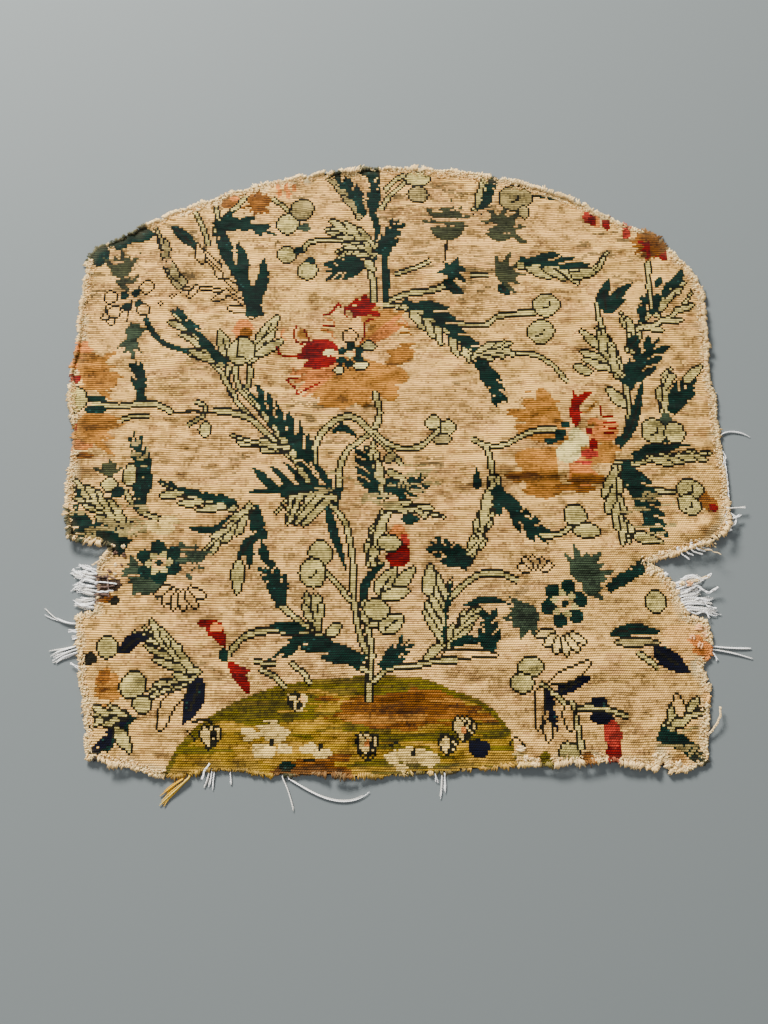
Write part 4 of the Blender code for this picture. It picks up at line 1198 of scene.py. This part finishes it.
def give_colours(mesh, tints, domain):
    """Store the wool's colour at each corner or point of a mesh."""
    rgba = np.ones((len(tints), 4))
    rgba[:, :3] = tints
    wool = mesh.color_attributes.new(name="wool", type="FLOAT_COLOR", domain=domain)
    wool.data.foreach_set("color", rgba.ravel())


def vertex_places(mesh):
    """The places of a mesh's vertices, one in each row."""
    flat = np.empty(len(mesh.vertices) * 3)
    mesh.vertices.foreach_get("co", flat)
    return flat.reshape(-1, 3)


# Painted shade and highlight on the ribs: the colour at each row's low edges is made nearly black, and
# along its middle brighter than the yarn.
GROOVE_PAINTED_SHADE, CREST_PAINTED_HIGHLIGHT = 0.06, 1.2


def stitch_sheet(name, squares):
    """Make one sheet of stitches from the chosen squares of the chart."""
    bm = square_grid(squares, split=2)
    mesh = bpy.data.meshes.new(name)
    bm.to_mesh(mesh)
    bm.free()
    flat = vertex_places(mesh)
    col = np.round((flat[:, 0] + 0.5) * COLS).astype(int)
    half = np.round((flat[:, 1] + 0.5) * 2 * ROWS).astype(int)
    flat[:, 0] = grid_x[half, col] * MM
    flat[:, 1] = (grid_up[half, col] - MIDDLE_UP) * MM
    flat[:, 2] = level[half, col] * MM
    mesh.vertices.foreach_set("co", flat.ravel())
    corner = np.empty(len(mesh.loops), int)
    mesh.loops.foreach_get("vertex_index", corner)
    by_face = corner.reshape(-1, 4)
    square_col = col[by_face].min(1)
    square_row = half[by_face].min(1) // 2
    tint = colour[square_row, square_col][:, None, :].repeat(4, axis=1)
    # Painted shade in the grooves between rows, painted highlight along the crests of the rows.
    depth = np.where(half[by_face] % 2 == 0, GROOVE_PAINTED_SHADE, CREST_PAINTED_HIGHLIGHT)[..., None]
    give_colours(mesh, (tint * depth).reshape(-1, 3), "CORNER")
    uv = mesh.uv_layers.new(name="stitches")
    uv.data.foreach_set("uv", np.stack([col[corner], half[corner] / 2], 1).astype(float).ravel())
    mesh.shade_smooth()
    mesh.update()
    print(name, len(mesh.polygons) * 2, "triangles")
    return placed(name, mesh)


on_mound = in_yarns("moss", "olive", "gold", "straw", "rust", "umber", "brown", "bronze")
on_mound &= (UU < 90) & (XX > -215) & (XX < 112)
upper = UU >= MIDDLE_UP
stitch_pieces = [
    stitch_sheet("field_stitches_upper", worked & ground & upper),
    stitch_sheet("field_stitches_lower", worked & ground & ~upper),
    stitch_sheet("tree_stitches", worked & ~ground & ~on_mound),
    stitch_sheet("mound_stitches", worked & on_mound),
]

# %% [markdown]
# The wool's colour comes from the stitches themselves. Over it lie two fine things: the slant
# of each stitch, which is drawn in the counted squares' own measure, and the fibres, a fine
# noise in the object's own measure. Wool is dull, with a soft sheen where fibres stand up.

# %% Wool finish
WOOL_SHEEN = 0.025
FIBRES = 1400.0
STITCH_LEAN = -0.7
SLANT_SHARE = 0.35
RELIEF = 0.0004


def maths(nodes, links, operation, *values):
    """A maths node. Each of its inputs is joined to an output or set to a number."""
    node = nodes.new("ShaderNodeMath")
    node.operation = operation
    for socket, value in zip(node.inputs, values):
        if isinstance(value, bpy.types.NodeSocket):
            links.new(value, socket)
        else:
            socket.default_value = value
    return node.outputs["Value"]


def relief(nodes, links, shader, height, strength, invert=False):
    """Let a pattern's height tip the light on the surface."""
    bump = nodes.new("ShaderNodeBump")
    bump.invert = invert
    bump.inputs["Strength"].default_value = strength
    bump.inputs["Distance"].default_value = RELIEF
    links.new(height, bump.inputs["Height"])
    links.new(bump.outputs["Normal"], shader.inputs["Normal"])


def wool_finish(name, slant, sheen=WOOL_SHEEN):
    """Make a dull fibrous finish that takes its colour from the strands themselves."""
    material, nodes, links, shader = node_material(name, 0.92, sheen=sheen)
    yarn = nodes.new("ShaderNodeAttribute")
    yarn.attribute_name = "wool"
    place = nodes.new("ShaderNodeTexCoord")
    fibre = nodes.new("ShaderNodeTexNoise")
    fibre.inputs["Scale"].default_value = FIBRES
    fibre.inputs["Detail"].default_value = 3.0
    links.new(place.outputs["Object"], fibre.inputs["Vector"])
    spread = nodes.new("ShaderNodeMapRange")
    spread.inputs["To Min"].default_value = 0.72
    spread.inputs["To Max"].default_value = 1.28
    links.new(fibre.outputs["Fac"], spread.inputs["Value"])
    tint = nodes.new("ShaderNodeVectorMath")
    tint.operation = "SCALE"
    links.new(yarn.outputs["Color"], tint.inputs[0])
    links.new(spread.outputs["Result"], tint.inputs["Scale"])
    links.new(tint.outputs["Vector"], shader.inputs["Base Color"])
    height = fibre.outputs["Fac"]
    if slant:
        uv = nodes.new("ShaderNodeUVMap")
        uv.uv_map = "stitches"
        split = nodes.new("ShaderNodeSeparateXYZ")
        links.new(uv.outputs["UV"], split.inputs["Vector"])
        across, up = split.outputs["X"], split.outputs["Y"]
        lean = maths(nodes, links, "MULTIPLY_ADD", up, STITCH_LEAN, across)
        turn = maths(nodes, links, "MULTIPLY", lean, 2 * math.pi)
        bar = maths(nodes, links, "SINE", turn)
        height = maths(nodes, links, "MULTIPLY_ADD", bar, SLANT_SHARE, height)
    relief(nodes, links, shader, height, 0.55)
    return material


stitched_wool = wool_finish("stitched_wool", slant=True)
for piece in stitch_pieces:
    piece.data.materials.append(stitched_wool)
print("wool finish on", len(stitch_pieces), "sheets of stitches")

# %% [markdown]
# Under the stitches lies the canvas they are worked on. It is one thin closed slab, cut to
# the edge and lying as the cloth lies. Its upper side shows only where stitches are worn away, as
# bare weave. Its underside is the back of the work: the same yarns, in longer, looser runs.

# %% Canvas ground
CANVAS_THICK = 1.2
BACK_SHADE = 0.8
half_cols, half_rows = COLS // 2, ROWS // 2
pairs = on_cloth.reshape(half_rows, 2, half_cols, 2).any(axis=(1, 3))
canvas_bm = square_grid(pairs)
verts = canvas_bm.verts[:]
col = np.array([round((v.co.x + 0.5) * half_cols) * 2 for v in verts])
half = np.array([round((v.co.y + 0.5) * half_rows) * 4 for v in verts])
x, up = grid_x[half, col], grid_up[half, col]
edge_x, edge_up = edge_distance(x, up)[1:]
outside = corner_values(cover)[half // 2, col] < 0.6
x = np.where(outside, edge_x, x)
up = np.where(outside, edge_up, up)
under = corner_values(floor_level)[half // 2, col]
for vert, vx, vu, vz in zip(verts, x, up, under):
    vert.co = (vx * MM, (vu - MIDDLE_UP) * MM, vz * MM)
bmesh.ops.remove_doubles(canvas_bm, verts=canvas_bm.verts[:], dist=2e-4)
top = bmesh.ops.extrude_face_region(canvas_bm, geom=canvas_bm.faces[:])["geom"]
lifted = [item for item in top if isinstance(item, bmesh.types.BMVert)]
bmesh.ops.translate(canvas_bm, verts=lifted, vec=Vector((0, 0, CANVAS_THICK * MM)))
bmesh.ops.recalc_face_normals(canvas_bm, faces=canvas_bm.faces[:])
for face in canvas_bm.faces:
    face.material_index = 1 if face.normal.z < -0.5 else 0
canvas_mesh = bpy.data.meshes.new("canvas_ground")
canvas_bm.to_mesh(canvas_mesh)
canvas_bm.free()
canvas_ground = placed("canvas_ground", canvas_mesh)


def colour_near(x, up):
    """The stitch colour at places on the cloth, in millimetres."""
    col = np.clip(((np.asarray(x) - LEFT) / PITCH).astype(int), 0, COLS - 1)
    row = np.clip(((np.asarray(up) - LOW) / PITCH).astype(int), 0, ROWS - 1)
    return colour[row, col]


def ground_near(x, up):
    """Whether the stitch at a place is one of the plain ground."""
    col = min(max(int((x - LEFT) / PITCH), 0), COLS - 1)
    row = min(max(int((up - LOW) / PITCH), 0), ROWS - 1)
    return bool(ground[row, col]) or NAMES[chart[row, col]] in ("line", "tan", "pale")


def level_near(x, up):
    """The height of the stitches at a place, in millimetres."""
    col = min(max(round((x - LEFT) / PITCH), 0), COLS)
    half = min(max(round((up - LOW) / PITCH * 2), 0), 2 * ROWS)
    return float(level[half, col])


flat = vertex_places(canvas_mesh) / MM
give_colours(canvas_mesh, colour_near(flat[:, 0], flat[:, 1] + MIDDLE_UP) * BACK_SHADE, "POINT")

bare_canvas, nodes, links, shader = node_material("bare_canvas", 0.95)
place = nodes.new("ShaderNodeTexCoord")
weave = nodes.new("ShaderNodeTexBrick")
weave.inputs["Scale"].default_value = 300.0
weave.inputs["Color1"].default_value = (*linear((112, 88, 66)), 1)
weave.inputs["Color2"].default_value = (*linear((74, 56, 44)), 1)
weave.inputs["Mortar"].default_value = (*linear((34, 25, 20)), 1)
weave.inputs["Mortar Size"].default_value = 0.12
weave.inputs["Brick Width"].default_value = 0.5
weave.inputs["Row Height"].default_value = 0.5
links.new(place.outputs["Object"], weave.inputs["Vector"])
links.new(weave.outputs["Color"], shader.inputs["Base Color"])
relief(nodes, links, shader, weave.outputs["Fac"], 0.6, invert=True)
canvas_mesh.materials.append(bare_canvas)
canvas_mesh.materials.append(wool_finish("back_of_work", slant=False))
print("canvas ground", len(canvas_mesh.polygons), "faces")

# %% [markdown]
# Fine strands are curves with a round bevel: a curve is quick to bend, and each point has its
# own thickness, so a strand can taper. When all strands of a piece are in one curve object it
# is made a mesh once, and each strand keeps its own colour.

# %% Strands from curves
def strands(name, rows, sides=4):
    """Make one mesh of many strands. Each row is (points in mm, radii in mm, colour)."""
    data = bpy.data.curves.new(name, "CURVE")
    data.dimensions = "3D"
    data.bevel_depth = MM
    data.bevel_resolution = (sides - 4) // 2
    for points, radii, tint in rows:
        spline = data.splines.new("POLY")
        spline.points.add(len(points) - 1)
        co = np.ones((len(points), 4))
        co[:, :3] = (points - [0, MIDDLE_UP, 0]) * MM
        spline.points.foreach_set("co", co.ravel())
        spline.points.foreach_set("radius", np.asarray(radii, float))
    maker = placed(name + "_maker", data)
    graph = bpy.context.evaluated_depsgraph_get()
    mesh = bpy.data.meshes.new_from_object(maker.evaluated_get(graph))
    bpy.data.objects.remove(maker)
    mesh.name = name
    bm = bmesh.new()
    bm.from_mesh(mesh)
    bmesh.ops.holes_fill(bm, edges=[edge for edge in bm.edges if edge.is_boundary], sides=sides)
    bmesh.ops.recalc_face_normals(bm, faces=bm.faces[:])
    bm.to_mesh(mesh)
    bm.free()
    tints = np.concatenate([np.tile(tint, (len(points) * sides, 1)) for points, radii, tint in rows])
    if len(tints) != len(mesh.vertices):
        raise ValueError("strand colours and vertices differ: %d, %d" % (len(tints), len(mesh.vertices)))
    give_colours(mesh, tints, "POINT")
    mesh.shade_smooth()
    print(name, len(rows), "strands", sum(len(p.vertices) - 2 for p in mesh.polygons), "triangles")
    return placed(name, mesh)

# %% [markdown]
# Every edge was cut, so wool ends stand out of it all the way round. They come in clumps,
# one for each cut length of yarn, longer along the arch, and they carry the colour
# of the last stitch, washed out with cream.

# %% Cut wool along the edge
rng = random.Random(51)
ground_edge = linear((238, 190, 118))
brown_edge = linear((112, 86, 72))
ARCH_UP = 470
LOWER_FROM = 260
CLUMP_EVERY = 1.7
FLUFF_PER_MM = 2.7
BARE_RIGHT, BARE_LOW, BARE_HIGH = -262, 148, 190


def by_zone(up, arch, upper_half, lower_half):
    """The value for the arch, for the rest of the upper half or for the lower half."""
    return arch if up > ARCH_UP else upper_half if up > MIDDLE_UP else lower_half


def heading_of(angle):
    """A level step one millimetre long."""
    return np.array([math.cos(angle), math.sin(angle), 0.0])


def edge_tufts(wanted):
    """Rounded clumps of cut wool along the chosen part of the edge."""
    rows = []
    for (ax, au, bx, bu, ox, ou, under), size in zip(edge_runs, edge_length):
        if not wanted((au + bu) / 2):
            continue
        crown = by_zone(au, 1.5, 1.15, 1.0)
        for _ in range(max(1, round(size / CLUMP_EVERY))):
            t = rng.random()
            x, up = ax + t * (bx - ax), au + t * (bu - au)
            swell = 0.5 + 0.5 * math.sin(x / 7.3 + 1.7 * math.sin(up / 11)) * math.cos(up / 6.1 + x / 23)
            lean = 0.5 * math.sin(x / 5.1 + up / 8.7)
            angle = math.atan2(ou, ox) + lean + rng.gauss(0, 0.3)
            long = (0.5 + 3.4 * swell * rng.uniform(0.4, 1.3)) * crown
            inside_x, inside_up = x - ox * 4.5, up - ou * 4.5
            on_ground = ground_near(inside_x, inside_up)
            inside = ground_edge if on_ground else colour_near([inside_x], [inside_up])[0]
            pale = min(1.0, rng.uniform(0.25, 0.75) * crown) if on_ground else rng.uniform(0.0, 0.14)
            if x < BARE_RIGHT and BARE_LOW < up < BARE_HIGH:
                inside, pale = brown_edge, rng.uniform(0, 0.25)
            tint = inside * (1 - pale) + cream_edge * pale
            tint = tint * (0.6 if on_ground and rng.random() < 0.08 else rng.uniform(0.86, 1.1))
            top = under + CLOTH_THICK - 0.3 + 0.7 * swell * (crown - 0.6)
            for _ in range(4):
                shift = rng.uniform(-1.5, 1.5)
                back = rng.uniform(0.6, 3.4)
                start = np.array([x - ou * shift - ox * back, up + ox * shift - ou * back, top - 0.9])
                reach = long * rng.uniform(0.7, 1.1)
                way = heading_of(angle)
                bend = np.array([rng.gauss(0, 0.5), rng.gauss(0, 0.5), 0.0])
                points = np.array([start,
                                   start + (back * 0.7) * way + [0, 0, 0.8],
                                   start + (back + reach * 0.6) * way + bend,
                                   start + (back + reach) * way + bend * 1.6])
                points[2, 2] = top - rng.uniform(0.2, 0.9)
                points[3, 2] = max(0.45, top - rng.uniform(1.4, 2.8))
                thick = rng.uniform(0.36, 0.68)
                radii = [thick * 0.6, thick, thick * 1.1, thick * 0.45]
                rows.append((points, radii, tint * rng.uniform(0.88, 1.08)))
    return rows


def edge_fluff():
    """Short wool ends that lie on the last stitches, widest along the arch."""
    rows = []
    for (ax, au, bx, bu, ox, ou, under), size in zip(edge_runs, edge_length):
        band = by_zone(au, 9.0, 7.0, 6.0)
        for _ in range(max(1, round(size * FLUFF_PER_MM))):
            t = rng.random()
            depth = 0.6 + band * rng.random() ** 1.8
            x, up = ax + t * (bx - ax) - ox * depth, au + t * (bu - au) - ou * depth
            by_bare = x < BARE_RIGHT + 4 and BARE_LOW + 8 < up < BARE_HIGH - 8
            if by_bare or not ground_near(x, up):
                continue
            way = heading_of(math.atan2(ou, ox) + rng.gauss(0, 1.0))
            long = rng.uniform(1.4, 3.0)
            base = np.array([x, up, level_near(x, up) + 0.1])
            points = np.array([base,
                               base + way * long * 0.5 + [0, 0, 0.5],
                               base + way * long + [0, 0, 0.15]])
            thick = rng.uniform(0.4, 0.75)
            tint = (ground_edge if rng.random() < depth / 9 else cream_edge) * rng.uniform(0.75, 1.08)
            rows.append((points, [thick * 0.7, thick, thick * 0.4], tint))
    return rows


edge_pieces = [
    strands("edge_wool_upper", edge_tufts(lambda up: up >= LOWER_FROM)),
    strands("edge_wool_lower", edge_tufts(lambda up: up < LOWER_FROM)),
    strands("edge_wool_inner", edge_fluff()),
]
loose_wool = wool_finish("loose_wool", slant=False)
for piece in edge_pieces:
    piece.data.materials.append(loose_wool)

# %% [markdown]
# Where the edge has unravelled, the canvas's own threads hang loose. Each follows the path
# of its CAD thread, worked out from the same places, lengths and headings. The weave has
# left a crimp in them, and their twist opens towards the cut end, so each
# CAD thread is dressed as three to ten fine ones that part at the tip.

# %% Loose canvas threads
Thread = namedtuple("Thread", "at length heading curl ease")
Fray = namedtuple("Fray", "start end threads")
EDGE_GAP, STRIP_WIDE = 0.3, 1.6
STRIP_OUT = EDGE_GAP + STRIP_WIDE


def fan_of(count, short, long, first, last):
    """Spread an even row of threads along a frayed stretch, each of its own length."""
    seeded = random.Random(3)
    return [Thread(0.06 + 0.88 * n / (count - 1), seeded.uniform(short, long),
                   first + (last - first) * n / (count - 1), seeded.uniform(-2.0, 2.0), 1)
            for n in range(count)]


FRAYS = {
    "left_cut_fray": Fray((-277, 144), (-279, 184), fan_of(10, 20, 29, 180, 164)),
    "right_cut_fray": Fray((253, 169), (265, 142), fan_of(11, 25, 40, 22, -4)),
    "right_lip_fray": Fray((284, 205), (262, 197.4), fan_of(5, 9, 19, -10, -30)),
    "left_wing_fray": Fray((-288.45, 95), (-294.38, 134), [
        Thread(0.28, 31, 202, 8, 1), Thread(0.36, 36, 200, 6, 1), Thread(0.44, 28, 196, 4, 1),
        Thread(0.66, 9, 176, 8, 1), Thread(0.95, 37, 178, -44, 0.8)]),
    "right_wing_fray": Fray((285.5, 116), (283.5, 105), [
        Thread(0.40, 49, -6, 8, 1), Thread(0.64, 42, -9, -16, 2), Thread(0.88, 10, -62, -10, 1)]),
    "right_side_thread": Fray((311, 317), (311, 309), [Thread(0.5, 46, 52, -106, 0.5)]),
    "right_corner_threads": Fray((313, 244), (312, 227), [
        Thread(0.22, 20, 5, -8, 1), Thread(0.84, 11, 18, 24, 1)]),
    "bottom_long_threads": Fray((-94, 0), (-106, 0), [
        Thread(0.28, 84, -30, 96, 2.4), Thread(0.66, 37, -62, -18, 1)]),
    "bottom_white_tails": Fray((-146, 4), (-168, 4), [
        Thread(0.10, 13, -84, 0, 1), Thread(0.74, 15, -92, -4, 1),
        Thread(0.84, 17, -98, -4, 1), Thread(0.94, 14, -104, -4, 1)]),
    "bottom_middle_tuft": Fray((44, 2), (30, 2), [
        Thread(0.26, 20, -88, -10, 1), Thread(0.42, 23, -94, -6, 1), Thread(0.82, 9, -80, 6, 1)]),
    "yellow_yarn_tail": Fray((-182, 0.7), (-194, -0.7), [
        Thread(0.16, 44, -140, 14, 1), Thread(0.62, 31, -146, 6, 1)]),
}


def thread_path(fray, thread, step=0.7):
    """The middle line of a CAD thread: it starts inside the cloth and turns to its heading."""
    a, b = np.array(fray.start, float), np.array(fray.end, float)
    run = (b - a) / np.hypot(*(b - a))
    out = np.array([-run[1], run[0]])
    root = a + (b - a) * thread.at + out * STRIP_OUT
    facing = math.degrees(math.atan2(out[1], out[0]))
    swing = (thread.heading - facing + 180.0) % 360.0 - 180.0
    points = [root - out * 4.0, root]
    angle = math.radians(facing + swing * 0.5)
    points.append(root + heading_of(angle)[:2] * STRIP_WIDE)
    count = max(4, round(thread.length / step))
    for k in range(count):
        angle = math.radians(thread.heading + thread.curl * (k / count) ** thread.ease)
        points.append(points[-1] + heading_of(angle)[:2] * thread.length / count)
    return np.array(points)


def gathered(paths, size):
    """Draw threads together at their tips, in locks of a few neighbours."""
    out = []
    for first in range(0, len(paths), size):
        lock = paths[first:first + size]
        middle = lock[len(lock) // 2]
        trim = rng.uniform(0.72, 1.0)
        for path in lock:
            reach = np.linspace(0, 1, len(path))[:, None]
            spots = np.linspace(0, len(middle) - 1, len(path))
            counted = range(len(middle))
            centre = np.column_stack([np.interp(spots, counted, values) for values in middle.T])
            drawn = path * (1 - 0.8 * reach) + centre * 0.8 * reach
            out.append(drawn[:max(6, int(len(path) * trim))])
    return out


def dressed(node, tints, plies, thick, part, crimp, lock):
    """Fine threads along each CAD thread of a node, in place of it."""
    fray = FRAYS[node]
    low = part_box(node)[0].z / MM
    rows = []
    for path in gathered([thread_path(fray, thread) for thread in fray.threads], lock):
        ahead = np.gradient(path, axis=0)
        ahead /= np.maximum(np.hypot(ahead[:, 0], ahead[:, 1]), 1e-6)[:, None]
        side = np.stack([-ahead[:, 1], ahead[:, 0]], 1)
        reach = np.linspace(0, 1, len(path))
        for ply in range(plies):
            drift = rng.uniform(-1, 1) * part
            phase = rng.uniform(0, 6.28)
            end = max(5, int(len(path) * rng.uniform(0.78 if part < 1 else 0.5, 1.0)))
            turns = np.arange(len(path)) * 2.1 + phase
            wave = crimp * np.sin(turns)
            swing = part * rng.uniform(0.3, 1.3) * reach * np.sin(reach * rng.uniform(3, 6) + phase)
            sway = drift * (0.25 + (1.2 if lock == 1 else 0.5) * reach ** 1.6) + wave + swing
            flat = path + side * sway[:, None]
            lift = low + 0.45 + 0.35 * ply * (1 - reach) + 0.12 * np.cos(turns)
            lift[:2] = low + 0.9
            points = np.column_stack([flat, lift])[:end]
            taper = np.interp(np.linspace(0, 1, end), [0, 0.8, 1], [1, 0.9, 0.45])
            radii = thick * rng.uniform(0.8, 1.1) * taper
            rows.append((points, radii, tints[rng.randrange(len(tints))] * rng.uniform(0.88, 1.08)))
    return strands(node + "_threads", rows, sides=6)


canvas_tints = [linear((252, 250, 246), 0.82), linear((240, 234, 222), 0.8),
                linear((255, 254, 252), 0.84)]
yellow_tints = [linear((226, 178, 56)), linear((196, 146, 34)), linear((214, 184, 92))]
canvas_thread = wool_finish("canvas_thread", slant=False, sheen=0.3)
yellow_wool = wool_finish("yellow_wool", slant=False)

# Fine threads to each CAD thread, their thickness, how far they part, their crimp, and how
# many neighbours are drawn together
FINE = {
    "yellow_yarn_tail": (7, 0.6, 1.9, 0.15, 1),
    "left_cut_fray": (10, 0.42, 3.0, 0.4, 3),
    "right_cut_fray": (10, 0.42, 3.0, 0.4, 3),
    "left_wing_fray": (6, 0.4, 1.5, 0.25, 1),
}
FINE_ELSEWHERE = (3, 0.44, 0.7, 0.25, 1)

fray_pieces = {}
for node in FRAYS:
    yellow = node == "yellow_yarn_tail"
    piece = dressed(node, yellow_tints if yellow else canvas_tints, *FINE.get(node, FINE_ELSEWHERE))
    piece.data.materials.append(yellow_wool if yellow else canvas_thread)
    fray_pieces[node] = piece

# %% [markdown]
# Wool that has come undone near the cuts lies in small soft lumps, and a few threads curl
# along the edge or over the floor. Each lump is a handful of short bent strands that start
# from one place. They lie close about the cloth's edge.

# %% Lumps and curls
white, cream = canvas_tints[0], linear((246, 212, 152))
brown, peach = linear((104, 78, 64)), linear((232, 172, 118))
lumps = []
for x, up, size, tint, count in [
    (-271, 199, 5, cream, 20), (-267, 204, 4, cream, 14), (-263, 186, 4, cream, 12),
    (-262, 177, 3, cream, 10), (-257, 203, 4, cream, 10), (-264, 197, 4, brown, 12),
    (-256, 195, 3.5, brown, 10), (-258, 186, 3, brown, 8), (-268, 180, 4, brown, 12),
    (-276, 192, 4, cream, 10), (-284, 91, 4, cream, 12), (235, 180, 6.5, cream, 34),
    (244, 176, 5, cream, 18), (249, 177, 3.5, white, 12), (255, 168, 5, cream, 18),
    (263, 168, 5, cream, 18), (270, 169, 5, peach, 16), (259, 161, 4.5, cream, 14),
    (275, 128, 6, peach, 30), (280, 121, 5, peach, 22), (268, 119, 4.5, peach, 18),
    (274, 112, 5, peach, 20), (282, 128, 4, peach, 14), (246, 197, 5, cream, 20),
    (254, 198, 4.5, cream, 16), (262, 201, 4, white, 10), (275, 205, 4, white, 12),
    (283, 207, 3.5, white, 10), (311, 219, 3.5, white, 14), (310, 225, 3, white, 10),
    (237, 9, 6, cream, 26), (246, 8, 6, cream, 26), (252, 5, 5, cream, 18),
    (226, 15, 4.5, cream, 14), (108, 22, 6, cream, 26), (112, 14, 5, cream, 18),
    (-214, 555, 5, cream, 26), (-206, 559, 5, cream, 26), (-222, 551, 4.5, cream, 18),
    (-313, 500, 5, cream, 16),
]:
    heading = rng.uniform(0, 2 * math.pi)
    for _ in range(count // 2):
        angle = rng.uniform(0, 2 * math.pi)
        spot = size * 0.45 * math.sqrt(rng.random())
        long = size * rng.uniform(0.5, 0.9)
        base = np.array([x + spot * math.cos(angle), up + spot * math.sin(angle), 0.0])
        base[2] = max(0.8, level_near(base[0], base[1]) - 0.3)
        way = heading_of(heading + rng.gauss(0, 0.45))
        start = base - way * long * 0.5
        points = np.array([start,
                           start + way * long * 0.35 + [0, 0, 0.7],
                           start + way * long * 0.7 + [0, 0, 0.6],
                           start + way * long])
        lumps.append((points, [0.55, 0.95, 0.9, 0.4], tint * rng.uniform(0.88, 1.04)))
curls = []
for path, plies, tint in [
    ([(314, 292), (315, 279), (315, 262), (314, 246), (309, 232)], 2, white),
    ([(312, 299), (316, 291), (310, 280)], 1, white),
    ([(310, 220), (316, 224), (319, 230), (315, 236)], 2, white),
    ([(278, 202), (290, 199), (299, 195)], 1, cream),
    ([(274, 33), (281, 41), (286, 50), (287, 58)], 3, cream),
    ([(-272, 193), (-278, 190), (-285, 186)], 3, cream),
    ([(-291, 125), (-301, 125)], 4, white),
    ([(-290, 119), (-297, 118)], 3, white),
    ([(-287, 89), (-291, 93), (-297, 96)], 2, white),
    ([(268, 170), (277, 172), (288, 175)], 4, cream),
    ([(-166, 9), (-170, 4), (-172, -4)], 4, white),
    ([(262, 172), (272, 176), (281, 172), (290, 177)], 3, white),
    ([(266, 161), (276, 166), (286, 160), (295, 165)], 3, white),
    ([(268, 150), (279, 155), (285, 148), (293, 146)], 3, white),
    ([(266, 145), (273, 141), (282, 143), (286, 137)], 3, white),
    ([(-279, 178), (-288, 182), (-296, 178), (-301, 182)], 3, white),
    ([(-279, 168), (-288, 172), (-297, 167)], 3, white),
    ([(-280, 152), (-288, 148), (-297, 151)], 2, white),
    ([(-284, 174), (-272, 175), (-261, 173)], 3, brown),
    ([(-286, 170), (-274, 170), (-260, 168)], 2, white),
    ([(-283, 166), (-272, 165), (-262, 166)], 3, brown),
    ([(-285, 162), (-273, 161), (-263, 162)], 2, white),
    ([(-282, 158), (-274, 159), (-266, 157)], 3, brown),
    ([(-270, 178), (-268, 166), (-267, 156)], 2, brown),
]:
    line = curve(path, step=1.0)
    ahead = np.gradient(line, axis=0)
    side = np.stack([-ahead[:, 1], ahead[:, 0]], 1) / np.hypot(ahead[:, 0], ahead[:, 1])[:, None]
    for _ in range(plies):
        drift = rng.uniform(-0.5, 0.5) * plies * 0.5
        wave = 0.3 * np.sin(np.arange(len(line)) * 0.9 + rng.uniform(0, 6))
        sway = drift + wave
        flat = line + side * sway[:, None]
        height = [max(0.7, level_near(px, pu) + 0.1) for px, pu in flat]
        points = np.column_stack([flat, height])
        curls.append((points, np.full(len(flat), 0.42), tint * rng.uniform(0.9, 1.05)))
loose_lumps = strands("loose_lumps", lumps)
loose_curls = strands("loose_curls", curls)
loose_lumps.data.materials.append(loose_wool)
loose_curls.data.materials.append(canvas_thread)

# %% [markdown]
# Last, each piece is tied to the frame by what it moves with, and the CAD parts that the
# pieces stand in for are hidden.

# %% Tie the pieces to the frame
cloth_pieces = [*stitch_pieces, *edge_pieces, loose_lumps]
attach(canvas_ground, "root")
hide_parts("seat_cover_panel")
for piece in cloth_pieces:
    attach(piece, "root")
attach(loose_curls, "root")
for node, piece in fray_pieces.items():
    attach(piece, "root")
    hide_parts(node)
bpy.context.view_layer.update()
size = {"cad_box": cad_box, "visual_box": [list(corner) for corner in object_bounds()]}
print(size)
